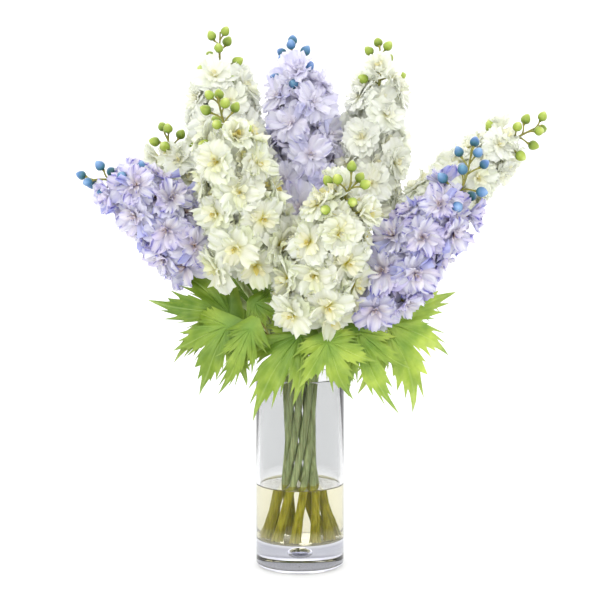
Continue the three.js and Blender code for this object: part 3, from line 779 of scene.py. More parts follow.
def rosette_tree():
    """Petals by the golden angle: flat and long at first, later upright and short."""
    tree, face = geometry_tree("rosette", {
        "Petals": "Collection", "Count": "Int", "Kinds": "Float", "Outer Pitch": "Float",
        "Heart Pitch": "Float", "Heart Length": "Float", "Depth": "Float", "Seed": "Int",
        "Material": "Material"})
    index = add(tree, "GeometryNodeInputIndex").outputs[0]
    share = add(tree, "ShaderNodeMath", {0: index, 1: face["Count"]}, operation="DIVIDE").outputs[0]
    draws = [0]

    def chance(low, high):
        """A random number for each petal. Every use draws from a seed of its own."""
        draws[0] += 1
        seed = add(tree, "ShaderNodeMath", {0: face["Seed"], 1: draws[0] * SEED_STEP}).outputs[0]
        return add(tree, "FunctionNodeRandomValue", {2: low, 3: high, "ID": index, "Seed": seed}).outputs[1]

    late = add(tree, "ShaderNodeMapRange", {
        "Value": share, "From Min": HEART_SHARES[0], "From Max": HEART_SHARES[1]},
        interpolation_type="SMOOTHSTEP").outputs[0]

    def between(low, high):
        """The first value on the outer petals, the second at the heart."""
        return add(tree, "ShaderNodeMix", {0: late, 2: low, 3: high}).outputs[0]

    def stray(key):
        """A small random number, as often below zero as above it."""
        return chance(-LOOSE[key], LOOSE[key])

    turn = maths(tree, "MULTIPLY_ADD", index, GOLDEN_ANGLE, stray("turn"))
    pitch = maths(tree, "ADD", between(face["Outer Pitch"], face["Heart Pitch"]), stray("pitch"))
    euler = add(tree, "ShaderNodeCombineXYZ", {0: pitch, 1: stray("roll"), 2: turn}).outputs[0]
    rotation = add(tree, "FunctionNodeEulerToRotation", {0: euler}).outputs[0]
    length = maths(tree, "MULTIPLY", between(1.0, face["Heart Length"]), chance(*LENGTHS))
    height = maths(tree, "MULTIPLY", share, face["Depth"])
    position = add(tree, "ShaderNodeCombineXYZ", {2: height}).outputs[0]
    kind = maths(tree, "FLOOR", maths(tree, "MULTIPLY_ADD", share, face["Kinds"], stray("kind")))
    points = add(tree, "GeometryNodePoints", {"Count": face["Count"], "Position": position})
    patterns = add(tree, "GeometryNodeCollectionInfo", {
        "Collection": face["Petals"], "Separate Children": True, "Reset Children": True})
    placed = add(tree, "GeometryNodeInstanceOnPoints", {
        "Points": points.outputs[0], "Instance": patterns.outputs[0], "Pick Instance": True,
        "Instance Index": kind, "Rotation": rotation, "Scale": length}).outputs[0]
    for name, value in (("rank", share), ("tone", chance(0.0, 1.0))):
        carried = {"Geometry": placed, "Name": name, "Value": value}
        placed = add(tree, "GeometryNodeStoreNamedAttribute", carried, data_type="FLOAT",
                     domain="INSTANCE").outputs[0]
    end_tree(tree, placed, face["Material"])
    return tree


ROSETTE = rosette_tree()
print("rosette nodes", len(ROSETTE.nodes))

# %% Six florets of each colour
FLORET_KINDS = [  # how many petals, and how far the outermost and the innermost stand up, in radians
    dict(count=21, outer=0.12, heart=0.95, heart_length=0.24, depth=0.12),
    dict(count=20, outer=0.26, heart=1.05, heart_length=0.26, depth=0.10),
    dict(count=22, outer=0.04, heart=0.90, heart_length=0.22, depth=0.14),
    dict(count=19, outer=0.20, heart=1.10, heart_length=0.28, depth=0.10),
    dict(count=14, outer=0.85, heart=1.35, heart_length=0.55, depth=0.10),
    dict(count=12, outer=0.15, heart=0.90, heart_length=0.60, depth=0.10),
]
OPEN, HALF_OPEN, INNER = 4, 4, 5  # the first kinds are open, then half open, then half hidden
EMPTY = bpy.data.meshes.new("empty")


def floret_patterns(colour, material, seed):
    """The rosette tree, run once for each kind of floret."""
    meshes = []
    for i, kind in enumerate(FLORET_KINDS):
        floret = grow(ROSETTE, EMPTY, f"{colour}_floret_{i}", {
            "Petals": PETALS[colour], "Count": kind["count"], "Kinds": float(len(PETAL_KINDS)),
            "Outer Pitch": kind["outer"], "Heart Pitch": kind["heart"],
            "Heart Length": kind["heart_length"], "Depth": kind["depth"], "Seed": seed + i,
            "Material": material})
        meshes.append(floret.data)
        bpy.data.objects.remove(floret)
    return prototypes(f"{colour}_florets", meshes)


FLORETS = {"white": floret_patterns("white", WHITE_PETAL, 11),
           "lavender": floret_patterns("lavender", LAVENDER_PETAL, 31)}

# %% [markdown]
# ## Flowers on a stem
# One tree sets patterns on points: florets on a spike, buds on its tip and bracts at the pedicels.
# Each point says which way its pattern turns, how large it is and which pattern it takes. Afterwards
# a gentle noise bends everything, so that no two copies look alike.

# %% The cluster tree
SWAY_SCALE = 45.0  # bends per metre, about two for each floret


def cluster_tree():
    """Patterns on points, made real and then bent a little by noise."""
    tree, face = geometry_tree("cluster", {
        "Patterns": "Collection", "Sway": "Float", "Sway Scale": "Float", "Material": "Material"})
    patterns = add(tree, "GeometryNodeCollectionInfo", {
        "Collection": face["Patterns"], "Separate Children": True, "Reset Children": True})
    placed = add(tree, "GeometryNodeInstanceOnPoints", {
        "Points": face["Geometry"], "Instance": patterns.outputs[0], "Pick Instance": True,
        "Instance Index": named(tree, "kind", "INT"), "Rotation": named(tree, "turn", "QUATERNION"),
        "Scale": named(tree, "size")})
    real = add(tree, "GeometryNodeRealizeInstances", {0: placed.outputs[0]})
    place = add(tree, "GeometryNodeInputPosition").outputs[0]
    wind = add(tree, "ShaderNodeTexNoise", {"Vector": place, "Scale": face["Sway Scale"], "Detail": 2.0})
    centred = add(tree, "ShaderNodeVectorMath", {0: wind.outputs["Color"], 1: (0.5, 0.5, 0.5)},
                  operation="SUBTRACT")
    offset = add(tree, "ShaderNodeVectorMath", {0: centred.outputs[0], 3: face["Sway"]}, operation="SCALE")
    swayed = add(tree, "GeometryNodeSetPosition", {0: real.outputs[0], "Offset": offset.outputs[0]})
    end_tree(tree, swayed.outputs[0], face["Material"])
    return tree


CLUSTER = cluster_tree()


def facing(direction, spin):
    """The turn that points +Z along a direction, after a spin about it."""
    return direction.to_track_quat("Z", "Y") @ Quaternion((0, 0, 1), spin)


def cluster(name, patterns, places, sway, material):
    """Patterns set on places. A place is a dict of at, turn, size, kind and shade."""
    points = bpy.data.meshes.new(name + "_points")
    points.from_pydata([place["at"] for place in places], [], [])
    for key, kind in (("turn", "QUATERNION"), ("size", "FLOAT"), ("kind", "INT"), ("shade", "FLOAT")):
        store(points, key, [place[key] for place in places], kind)
    return grow(CLUSTER, points, name, {
        "Patterns": patterns, "Sway": sway, "Sway Scale": SWAY_SCALE, "Material": material})


print("cluster nodes", len(CLUSTER.nodes))

# %% Places of the florets
FULL_TURN = 6.28
FLORET = dict(nod=0.25, opening=0.93, inner=0.68)  # the last two are shares of the spike and of a pedicel
FLORET_SIZE = (0.86, 0.98)  # times the petal length that the plan gives
PAINTED_PALING_RULE = dict(middle=0.2, by_depth=8, chance=0.2)  # painted light: florets further back are painted paler, as if lit more


def floret_places(spike):
    """Two florets for each head: one at its end, and one behind it that fills the gap to its neighbour."""
    draw = random.Random("florets " + spike["name"])
    places = []
    for one in (one for one in HEADS if one["spike"] == spike["name"]):
        outward = (one["head"] - one["root"]).normalized()
        # Painted light: the further back a floret stands, the paler it is painted, with a random spread.
        strayed = draw.uniform(-PAINTED_PALING_RULE["chance"], PAINTED_PALING_RULE["chance"])
        painted_paling = min(1, max(0, PAINTED_PALING_RULE["middle"] + PAINTED_PALING_RULE["by_depth"] * one["root"].y + strayed))
        kind = HALF_OPEN if one["share"] > FLORET["opening"] else draw.randrange(OPEN)
        nodding = (outward - FLORET["nod"] * one["tangent"]).normalized()
        places.append(dict(
            at=one["head"], turn=facing(nodding, draw.uniform(0, FULL_TURN)),
            size=one["petal"] * draw.uniform(*FLORET_SIZE), kind=kind, shade=painted_paling))
        between = Quaternion(one["tangent"], GOLDEN_ANGLE / 2) @ outward
        places.append(dict(
            at=one["root"] + between * FLORET["inner"] * one["stalk"],
            turn=facing(between, draw.uniform(0, FULL_TURN)),
            size=one["petal"] * draw.uniform(*FLORET_SIZE), kind=INNER, shade=painted_paling))
    return places


# %% Every spike gets its florets
PETAL_SWAY, BUD_SWAY, BRACT_SWAY = 0.005, 0.001, 0.0015  # metres that the noise may bend them


def seat(piece, body_slot, *nodes):
    """Every piece rides on the one body; body_slot, its finish, is not used. It may stand for nodes of the
    model.
    """
    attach(piece, "root")
    if nodes:
        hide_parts(*nodes)


for spike in SPIKES:
    name, white = spike["name"], spike["colour"] == "white"
    material = WHITE_PETAL if white else LAVENDER_PETAL
    petals = cluster("petals_" + name, FLORETS[spike["colour"]], floret_places(spike), PETAL_SWAY, material)
    seat(petals, spike["colour"] + "_petal", "florets_" + name)
    print(petals.name, len(petals.data.polygons), "faces")

# %% [markdown]
# ## Stems, stalks and petioles
# Everything that is a round rod is swept along its line by one tree. The lines come as a mesh of
# joined points, and each point carries the thickness there. The sweep closes its own ends, so that
# the cut feet and the tips are solid. A foot that has stood in water frays, so thin strands lie round it.

# %% The rod tree
def rod_tree():
    """Sweeps a ring along each line, as thick as the points of the line say."""
    tree, face = geometry_tree("rods", {"Sides": "Int", "Material": "Material"})
    curve = add(tree, "GeometryNodeMeshToCurve", {"Mesh": face["Geometry"]})
    ring = add(tree, "GeometryNodeCurvePrimitiveCircle", {0: face["Sides"], 4: 1.0}, mode="RADIUS")
    tube = add(tree, "GeometryNodeCurveToMesh", {
        "Curve": curve.outputs[0], "Profile Curve": ring.outputs[0], "Scale": named(tree, "thick"),
        "Fill Caps": True})
    end_tree(tree, tube.outputs[0], face["Material"])
    return tree


RODS = rod_tree()
print("rod nodes", len(RODS.nodes))


def rods(name, lines, sides, material):
    """Rods along lines. A line is a list of points, a list of radii and a shade."""
    points, edges, thick, shade = [], [], [], []
    for line, radii, tone in lines:
        edges += [(len(points) + i, len(points) + i + 1) for i in range(len(line) - 1)]
        points += line
        thick += radii
        shade += [tone] * len(line)
    mesh = bpy.data.meshes.new(name + "_lines")
    mesh.from_pydata(points, edges, [])
    store(mesh, "thick", thick)
    store(mesh, "shade", shade)
    return grow(RODS, mesh, name, {"Sides": sides, "Material": material})


def stretch(run, start, end, steps, first, last):
    """Points of a run from one share of it to another, and a radius for each of them."""
    shares = [i / steps for i in range(steps + 1)]
    return [bezier(run, mix(start, end, s)) for s in shares], [mix(first, last, s) for s in shares]


# %% Strands at a cut foot
FRAY = dict(strands=10, joints=5, spread=1.35, join=0.9, thick=0.0007, high=0.042)
FOOT = VASE["base"] + STEM["foot_lift"]


def strands(spike, draw):
    """The cut foot of a stem splits into thin strands, which spread a little."""
    joints, found = FRAY["joints"], []
    for k in range(FRAY["strands"]):
        angle = 2 * math.pi * (k + draw.uniform(-0.3, 0.3)) / FRAY["strands"]
        side = Vector((math.cos(angle), math.sin(angle), 0)) * STEM["radius"]
        top = FOOT + draw.uniform(FRAYED, FRAY["high"])
        line = [stem_line(spike, mix(FOOT, top, i / joints))
                + side * mix(FRAY["spread"], FRAY["join"], (i / joints) ** 0.6) for i in range(joints + 1)]
        found.append((line, [FRAY["thick"]] * joints + [0.3 * FRAY["thick"]], draw.random()))
    return found


# %% Cut stems
STEM_RINGS = [FOOT + rise for rise in (0, 0.0015, 0.03, 0.06)]
STEM_RINGS += [0.11, 0.122, 0.135, 0.149, 0.162, 0.19]  # closer together round the waist

for spike in SPIKES:
    draw = random.Random("stem " + spike["name"])
    line = [stem_line(spike, z) for z in STEM_RINGS]
    neck, radii = stretch(neck_run(spike), 0, 1, 16, STEM["radius"], STEM["neck"])
    radii = [0.85 * STEM["radius"]] + [STEM["radius"]] * (len(STEM_RINGS) - 1) + radii
    radii = [radius * draw.uniform(0.95, 1.0) for radius in radii]
    stalk = rods("stalk_" + spike["name"], [(line + neck, radii, draw.random())], 16, STEM_SKIN)
    seat(stalk, "stem", "stem_" + spike["name"])
    frayed = rods("strands_" + spike["name"], strands(spike, draw), 6, STEM_SKIN)
    seat(frayed, "stem", "stem_" + spike["name"])
print("stem faces", len(stalk.data.polygons))

# %% Flowering stems with their pedicels
KNOB = (1.3, 2.0)  # how much a pedicel swells at its last two points


def pedicel(root, tangent, outward, head, draw):
    """A thin stalk that leaves a stem steeply and swells under the flower."""
    reach = (head - root).length
    side = Vector([draw.uniform(-0.12, 0.12) for _ in range(3)])
    run = [root, root + (outward + 0.5 * tangent + side) * 0.4 * reach, head - outward * 0.3 * reach, head]
    line, radii = stretch(run, 0, 1, 7, PEDICEL * 1.15, PEDICEL)
    radii[-2:] = [PEDICEL * swell for swell in KNOB]
    return line, radii, draw.random()


for spike in SPIKES:
    draw = random.Random("pedicels " + spike["name"])
    lines = [(*stretch(spike["flowers"], 0, 1, 14, STEM["neck"], STEM["tip"]), 0.5)]
    for one in HEADS:
        if one["spike"] == spike["name"]:
            outward = (one["head"] - one["root"]).normalized()
            lines.append(pedicel(one["root"], one["tangent"], outward, one["head"], draw))
    rachis = rods("rachis_" + spike["name"], lines, 8, STALK_SKIN)
    seat(rachis, "stem", "florets_" + spike["name"])
print("rachis faces", len(rachis.data.polygons))

# %% [markdown]
# ## Closed buds
# The tip of each spike is still in bud. A bud is an egg of five sepals that meet in shallow grooves.
# It is made once in three forms, and the cluster tree sets them on the tip by the golden angle. The
# thin curved stalks are rods, as before.

# %% Buds as patterns
BUD_GIRTH = [0.09, 0.27, 0.375, 0.415, 0.42, 0.395, 0.345, 0.27, 0.17, 0.0]  # radii from stalk to nose
BUD_KINDS = 3


def bud_mesh(name, draw, columns=20):
    """An egg of five sepals with its stalk end at the origin and its nose one unit along +Z."""
    rows = len(BUD_GIRTH) - 1
    lean, twist = draw.uniform(-0.10, 0.10), draw.uniform(-0.5, 0.5)
    points, along = [], []
    for j, girth in enumerate(BUD_GIRTH):
        v = j / rows
        for i in range(columns):
            angle = 2 * math.pi * i / columns + twist * v
            groove = 1 - 0.11 * v * (0.5 - 0.5 * math.cos(5 * (angle - twist * v))) ** 3
            reach = girth * groove
            points.append((reach * math.cos(angle) + lean * v * v, reach * math.sin(angle), v))
            along.append(v)
    faces = [(j * columns + i, j * columns + (i + 1) % columns,
              (j + 1) * columns + (i + 1) % columns, (j + 1) * columns + i)
             for j in range(rows) for i in range(columns)]
    faces.append(tuple(reversed(range(columns))))
    mesh = bpy.data.meshes.new(name)
    mesh.from_pydata(points, [], faces, shade_flat=False)
    store(mesh, "along", along)
    crease_rim(mesh)
    return mesh


def bud_patterns(seed):
    """Buds that lean and twist a little differently."""
    draw = random.Random(seed)
    return prototypes("bud_forms", [bud_mesh(f"bud_{i}", draw) for i in range(BUD_KINDS)])


BUD_FORMS = bud_patterns(7)

# %% Places of the buds
BUD_CLIMB = (4, 58)  # degrees that the lowest and the highest stalk climb
BUD_RUN = 0.9  # the share of the tip that carries buds


def buds_of(spike):
    """Where each bud sits: its root on the rachis, its way out, its centre and its radius."""
    run, found = tip_run(spike), []
    for k in range(spike["buds"]):
        share = (k + 0.5) / spike["buds"]
        spot = share * BUD_RUN
        climb = math.radians(mix(*BUD_CLIMB, share))
        way = way_out(run, spot, k * GOLDEN_ANGLE + math.radians(spike["slot"]), climb)
        root = bezier(run, spot)
        found.append(dict(root=root, way=way, tangent=heading(run, spot),
                          centre=root + way * mix(*spike["spray"], share),
                          radius=(6.2 - 0.8 * share) * MM))  # the highest buds are the smallest
    return found


# %% Budding tips
for spike in SPIKES:
    draw = random.Random("buds " + spike["name"])
    lines = [(*stretch(tip_run(spike), 0, 1, 8, STEM["tip"] * 1.15, PEDICEL), 0.5)]
    places = []
    for bud in buds_of(spike):
        length = bud["radius"] / max(BUD_GIRTH) * draw.uniform(0.92, 1.06)
        foot = bud["centre"] - bud["way"] * length * 0.5
        nose = (bud["way"] + 0.35 * bud["tangent"] * draw.uniform(-0.3, 1)).normalized()
        lines.append(pedicel(bud["root"], bud["tangent"], bud["way"], foot, draw))
        places.append(dict(at=foot, turn=facing(nose, draw.uniform(0, FULL_TURN)), size=length,
                           kind=draw.randrange(BUD_KINDS), shade=draw.random()))
    material, body_slot = (GREEN_BUD, "green_bud") if spike["colour"] == "white" else (BLUE_BUD, "blue_bud")
    heads = cluster("bud_heads_" + spike["name"], BUD_FORMS, places, BUD_SWAY, material)
    seat(heads, body_slot, "buds_" + spike["name"])
    tips = rods("bud_stalks_" + spike["name"], lines, 8, STALK_SKIN)
    seat(tips, "stem", "buds_" + spike["name"])
print("buds of one spike", len(heads.data.polygons), "faces")

# %% [markdown]
# ## Bracts
# Under every pedicel sits a narrow green bract, and the lowest ones are as large as small leaves.
# They peep out between the florets and break up the white. They are blades again, narrow and
# pointed, set by the cluster tree.

# %% Bracts as patterns
BRACT_KINDS = [(0.16, 0.15), (0.22, -0.2), (0.34, 0.3)]  # width and curl: two narrow ones and a leafy one
LEAFY = 2  # the place of the leafy one in the list


def bract_rule(wide, curl):
    """The middle surface of a bract, which is pointed at both ends and keeled."""
    def place(u, v):
        """A point of the surface. u runs across the bract and v along it."""
        half = 0.5 * wide * math.sin(math.pi * (0.04 + 0.96 * v)) ** 0.8
        return Vector((u * half, v, 0.25 * abs(u) * half - curl * v * v))
    return place


def bract_patterns():
    """Three bracts with a vein along the middle."""
    meshes = []
    for i, (wide, curl) in enumerate(BRACT_KINDS):
        mesh = closed_blade(f"bract_{i}", 4, 7, bract_rule(wide, curl), thickness=0.012)
        across = [0.0] * len(mesh.vertices)
        mesh.attributes["across"].data.foreach_get("value", across)
        store(mesh, "vein", [max(0.0, 1 - 4 * abs(u)) for u in across])
        meshes.append(mesh)
    return prototypes("bract_forms", meshes)


BRACT_FORMS = bract_patterns()


def bract_turn(outward, tangent, lift):
    """Turns a blade, which lies along +Y with its face to +Z, to point outward and climb by lift."""
    along = (outward * math.cos(lift) + tangent * math.sin(lift)).normalized()
    side = along.cross(tangent).normalized()
    return Matrix((side, along, side.cross(along))).transposed().to_quaternion()


# %% Places of the bracts
BRACT_LENGTHS = (0.028, 0.012)  # the lowest and the highest on a spike
BRACTLET_LENGTHS = (0.007, 0.011)  # on half of the pedicels, near the flower
BUD_BRACT_LENGTHS = (0.006, 0.009)
LEAFY_SHARE, LEAFY_SIZE = 0.18, 1.25  # the part of a spike with leafy bracts, and how much larger they are


def bract_places(spike):
    """A bract under each pedicel, smaller ones on half of the pedicels, and one under each bud."""
    draw = random.Random("bracts " + spike["name"])
    places = []
    for one in (one for one in HEADS if one["spike"] == spike["name"]):
        outward = (one["head"] - one["root"]).normalized()
        low = one["share"] < LEAFY_SHARE
        size = mix(*BRACT_LENGTHS, min(1, one["share"] * 1.6)) * draw.uniform(0.8, 1.2)
        places.append(dict(at=one["root"], turn=bract_turn(outward, one["tangent"], draw.uniform(0.1, 0.9)),
                           size=size * (LEAFY_SIZE if low else 1),
                           kind=LEAFY if low else draw.randrange(LEAFY), shade=draw.random()))
        if draw.random() < 0.5:
            spot = one["root"].lerp(one["head"], draw.uniform(0.6, 0.85))
            places.append(dict(at=spot, turn=bract_turn(outward, one["tangent"], draw.uniform(-0.5, 0.7)),
                               size=draw.uniform(*BRACTLET_LENGTHS), kind=draw.randrange(LEAFY),
                               shade=draw.random()))
    for bud in buds_of(spike):
        places.append(dict(at=bud["root"], turn=bract_turn(bud["way"], bud["tangent"], 0.5),
                           size=draw.uniform(*BUD_BRACT_LENGTHS), kind=draw.randrange(LEAFY),
                           shade=draw.random()))
    return places


# %% Bracts on every spike
for spike in SPIKES:
    bracts = cluster("bracts_" + spike["name"], BRACT_FORMS, bract_places(spike), BRACT_SWAY, LEAF)
    seat(bracts, "leaf", "florets_" + spike["name"])
print("faces of one spike's bracts", len(bracts.data.polygons))

# %% [markdown]
# ## Palmate leaves
# A delphinium leaf is cut like a hand into five long lobes, and each lobe is cut again into sharp
# teeth that point forwards. The outline is a list of directions and reaches round the heel of the
# blade. Rings between the heel and that outline carry the arch, the droop of each lobe and the
# creases along its veins, so a dead flat cut-out never shows.

# %% The outline of a leaf
LEAF_SHAPE = dict(arch=0.2, curl=0.16, sinus=0.4, heel=0.18, thickness=0.0007, crease=0.010, rings=14)
LOBES = 5
LOBE = [  # half of a lobe, from the notch beside it to its tip: degrees off its middle, and reach
    (25, 0.40), (23.6, 0.50), (22.0, 0.64), (20.0, 0.58), (18.4, 0.63), (16.0, 0.82), (13.4, 0.69),
    (11.2, 0.66), (9.6, 0.72), (7.4, 0.88), (5.2, 0.77), (3.6, 0.82), (1.8, 0.93), (0, 1.04)]
NOTCH = LOBE[0][0]
TEETH = {22.0: 0.15, 16.0: 0.3, 7.4: 0.2, 0: 1.0}  # how strong the vein is that ends in each tooth
FULL_SPREAD = 50  # with this many degrees from lobe to lobe, a lobe is as wide as the list says
HEEL_TURN, HEEL_OFF = 160, 60  # where the outline starts and ends, beside the petiole


def lobe_reaches(leaf):
    """How long each lobe is, as a share of the middle one."""
    return [leaf["end"], leaf["side"], 1, leaf["side"], leaf["end"]]


def leaf_outline(leaf, draw):
    """Stations round a blade: direction, reach, lobe, offset from the lobe's middle, vein."""
    stations = [(-HEEL_TURN, LEAF_SHAPE["heel"], 0, -HEEL_OFF, 0)]
    for i, reach in enumerate(lobe_reaches(leaf)):
        middle, narrow = (i - 2) * leaf["spread"], leaf["spread"] / FULL_SPREAD
        for sign, side in ((-1, LOBE), (1, LOBE[-2::-1])):
            if sign < 0 and i:
                side = side[1:]
            for off, share in side:
                jitter = shift = 0
                if off in TEETH and off:  # no two teeth are alike, and the tip stays
                    jitter, shift = draw.uniform(-0.09, 0.07), draw.uniform(-0.9, 0.9)
                cut = LEAF_SHAPE["sinus"] if off == NOTCH else reach * (share + jitter)
                turn = middle + (sign * off + shift) * narrow
                stations.append((turn, cut, i, sign * off, TEETH.get(off, 0)))
    stations.append((HEEL_TURN, LEAF_SHAPE["heel"], LOBES - 1, HEEL_OFF, 0))
    return stations


print("stations round a leaf", len(leaf_outline(LEAVES[0], random.Random(0))))

# %% Where a blade lies
def leaf_frame(leaf):
    """The root of a blade, the way to its tip, its left side, its upper side and its length."""
    along = leaf["tip"] - leaf["blade"]
    length = along.length
    along = along.normalized()
    left = leaf["face"].cross(along).normalized()
    return leaf["blade"], along, left, along.cross(left), length


def leaf_point(frame, forward, sideways, lift):
    """A point of a blade, which arches lengthwise and curls down at its sides."""
    root, along, left, up, length = frame
    arch = LEAF_SHAPE["arch"] * (forward - forward * abs(forward)) - LEAF_SHAPE["curl"] * sideways ** 2
    return root + (along * forward + left * sideways + up * (arch + lift)) * length


# %% A leaf blade
LOBE_DROOP, LOBE_SWING, LOBE_ROLL = (0.0, 0.5), (-0.35, 0.35), (-1.6, 1.6)


def leaf_blade(leaf, draw):
    """Points, faces and stored values of a closed blade: an upper and a lower skin with one rim."""
    stations = leaf_outline(leaf, draw)
    frame, rings, count = leaf_frame(leaf), LEAF_SHAPE["rings"], len(stations)
    droop, swing, roll = ([draw.uniform(low, high) for _ in range(LOBES)]
                          for low, high in (LOBE_DROOP, LOBE_SWING, LOBE_ROLL))
    left_darkening = min(1, max(0, 0.9 - 8 * leaf["blade"].x))  # the leaves further right are paler, those further left darker
    tones = [0.85 * left_darkening + draw.uniform(0, 0.15) for _ in range(LOBES)]
    phase = draw.uniform(0, 6)
    reaches, points, values = lobe_reaches(leaf), [], []

    def lay(k, f, skin):
        """The point at share f of the way from the heel to station k, on a skin (1, -1) or the rim (0)."""
        turn, reach, lobe, off, vein = stations[k]
        smooth = min(LEAF_SHAPE["sinus"], reach)
        radius = f * (smooth + (reach - smooth) * f ** 1.5)
        weight = max(0.0, radius / reaches[lobe] - LEAF_SHAPE["sinus"]) ** 1.6
        angle = math.radians(turn) + swing[lobe] * weight
        aside = radius * math.sin(math.radians(min(NOTCH, abs(off))) * leaf["spread"] / FULL_SPREAD)
        ridge = 0.2 * aside - droop[lobe] * weight + roll[lobe] * weight * math.copysign(aside, off)
        crease = LEAF_SHAPE["crease"] * vein * math.sin(math.pi * min(1, f * 1.02))
        crease *= 1 if f > 0.25 or off == 0 else 0  # near the heel only the middle veins are sunk
        round_about = math.radians(turn)
        wave = radius * (0.045 * math.sin(7 * round_about + phase + 5 * radius)
                         + 0.022 * math.sin(17 * round_about - 12 * radius))
        lift = ridge - crease + wave + skin * (1 - f ** 3) * LEAF_SHAPE["thickness"] / 2 / frame[4]
        points.append(leaf_point(frame, radius * math.cos(angle), radius * math.sin(angle), lift))
        fade = vein if off == 0 or f > 0.35 else 0
        values.append((radius / reaches[lobe], fade * (1 - 0.5 * f), tones[lobe]))

    lay(0, 0, 1)
    lay(0, 0, -1)
    for skin in (1, -1):
        for j in range(1, rings):
            for k in range(count):
                lay(k, j / rings, skin)
    for k in range(count):
        lay(k, 1, 0)
    return points, leaf_faces(count, rings), values


# %% The faces of a blade
def leaf_faces(count, rings):
    """Fans round the two middles and quads between the rings. The last ring is the shared rim."""
    def index(skin, ring, k):
        """The number of the point at station k of a ring."""
        if ring == rings:
            return 2 + 2 * (rings - 1) * count + k % count
        return 2 + skin * (rings - 1) * count + (ring - 1) * count + k % count
    faces = []
    for k in range(count):
        for skin in (0, 1):
            fan = [skin, index(skin, 1, k), index(skin, 1, k + 1)]
            faces.append(fan if skin == 0 else fan[::-1])
            for j in range(1, rings):
                quad = [index(skin, j, k), index(skin, j + 1, k),
                        index(skin, j + 1, k + 1), index(skin, j, k + 1)]
                faces.append(quad if skin == 0 else quad[::-1])
    return faces


# %% The petiole of a leaf
PETIOLE = dict(foot=0.0022, root=0.0014, heel=0.0008, into_blade=0.003)
HEIGHT_STEPS = 200


def petiole_line(leaf):
    """The petiole leaves its stem squarely, arches over and runs into the heel of the blade."""
    spike = next(one for one in SPIKES if one["name"] == leaf["spike"])
    run = neck_run(spike)
    shares = [i / HEIGHT_STEPS for i in range(HEIGHT_STEPS + 1)]
    share = next(share for share in shares if bezier(run, share).z >= leaf["height"])
    point, tangent = bezier(run, share), heading(run, share)
    heel = leaf_point(leaf_frame(leaf), -LEAF_SHAPE["heel"] / 3, 0, 0)
    out = heel - point
    out = (out - tangent * out.dot(tangent)).normalized()
    start = point + out * mix(STEM["radius"], STEM["neck"], share) * 0.8
    span = (heel - start).length / 3
    along = leaf_frame(leaf)[1]
    route = [start, start + out * span, heel - along * span, heel + along * PETIOLE["into_blade"]]
    line, radii = stretch(route, 0, 1, 14, PETIOLE["root"], PETIOLE["heel"])
    radii[0] = PETIOLE["foot"]
    return line, radii, 0.5


# %% Twelve leaves
for leaf in LEAVES:
    draw = random.Random("leaf " + leaf["name"])
    points, faces, values = leaf_blade(leaf, draw)
    mesh = bpy.data.meshes.new("blade_" + leaf["name"])
    mesh.from_pydata(points, [], faces, shade_flat=False)
    for key, column in zip(("along", "vein", "shade"), zip(*values)):
        store(mesh, key, column)
    mesh.materials.append(LEAF)
    crease_rim(mesh)
    blade = link_object("blade_" + leaf["name"], mesh)
    seat(blade, "leaf", "leaf_" + leaf["name"])
    petiole = rods("petiole_" + leaf["name"], [petiole_line(leaf)], 8, STALK_SKIN)
    seat(petiole, "stem", "leaf_" + leaf["name"])
print("faces of a leaf", len(blade.data.polygons))

# %% [markdown]
# ## The vase
# A pressed cylinder has a thick, rounded foot with a flattened bubble of air in it. Glass shows what
# its surfaces do, so the wall, the floor and the bubble are all turned on one profile. The faces of
# the bubble point into the air inside it, because that is the way out of the glass there.

# %% Turned shapes
SHARP_EDGE = math.radians(35)


def quarter(x, z, radius, start, end, steps):
    """Points of an arc about a centre, between two angles in degrees."""
    angles = [math.radians(mix(start, end, i / steps)) for i in range(steps + 1)]
    return [(x + radius * math.cos(a), z + radius * math.sin(a)) for a in angles]


def turned(name, profiles, sides=128):
    """A closed turned body. A profile runs from the axis back to the axis, seen on the +X side."""
    body = bmesh.new()
    angles = [2 * math.pi * k / sides for k in range(sides)]
    for profile in profiles:
        rings = [[body.verts.new((r * math.cos(a), r * math.sin(a), z)) for a in angles]
                 for r, z in profile]
        for low, high in zip(rings, rings[1:]):
            for k in range(sides):
                body.faces.new((low[k], low[(k + 1) % sides], high[(k + 1) % sides], high[k])).smooth = True
    bmesh.ops.remove_doubles(body, verts=body.verts, dist=MERGE)
    for edge in body.edges:
        edge.smooth = edge.calc_face_angle(0) < SHARP_EDGE
    mesh = bpy.data.meshes.new(name)
    body.to_mesh(mesh)
    body.free()
    return link_object(name, mesh)


# %% Glass and bubble
SUPPORT, MARGIN = 0.02, 0.004  # rings on the flat parts, near the axis and near the edge, keep them flat
BUBBLE = dict(radius=0.0095, half_height=0.0062, height=0.018, steps=24)


def vase_profile():
    """Out under the foot, up the wall, over the rim and down inside to the floor."""
    r, h, wall, base = (VASE[key] for key in ("radius", "height", "wall", "base"))
    foot, floor = VASE["foot_round"], VASE["floor_round"]
    return [(0, 0), (SUPPORT, 0), (r - foot - MARGIN, 0), *quarter(r - foot, foot, foot, -90, 0, 12),
            (r, base), (r, h / 2), *quarter(r - wall / 2, h - wall / 2, wall / 2, 0, 180, 10),
            (r - wall, h / 2), *quarter(r - wall - floor, base + floor, floor, 0, -90, 8),
            (SUPPORT, base), (0, base)]


def bubble_profile():
    """An oblate bubble, run from its top to its bottom so that its faces point to its middle."""
    steps = BUBBLE["steps"]
    return [(BUBBLE["radius"] * math.cos(a), BUBBLE["height"] + BUBBLE["half_height"] * math.sin(a))
            for a in (math.radians(90 - 180 * i / steps) for i in range(steps + 1))]


vase = turned("vase_glass", [vase_profile(), bubble_profile()])
vase.data.materials.append(GLASS)
seat(vase, "glass", "vase")
print("vase", [round(side, 3) for side in vase.dimensions])

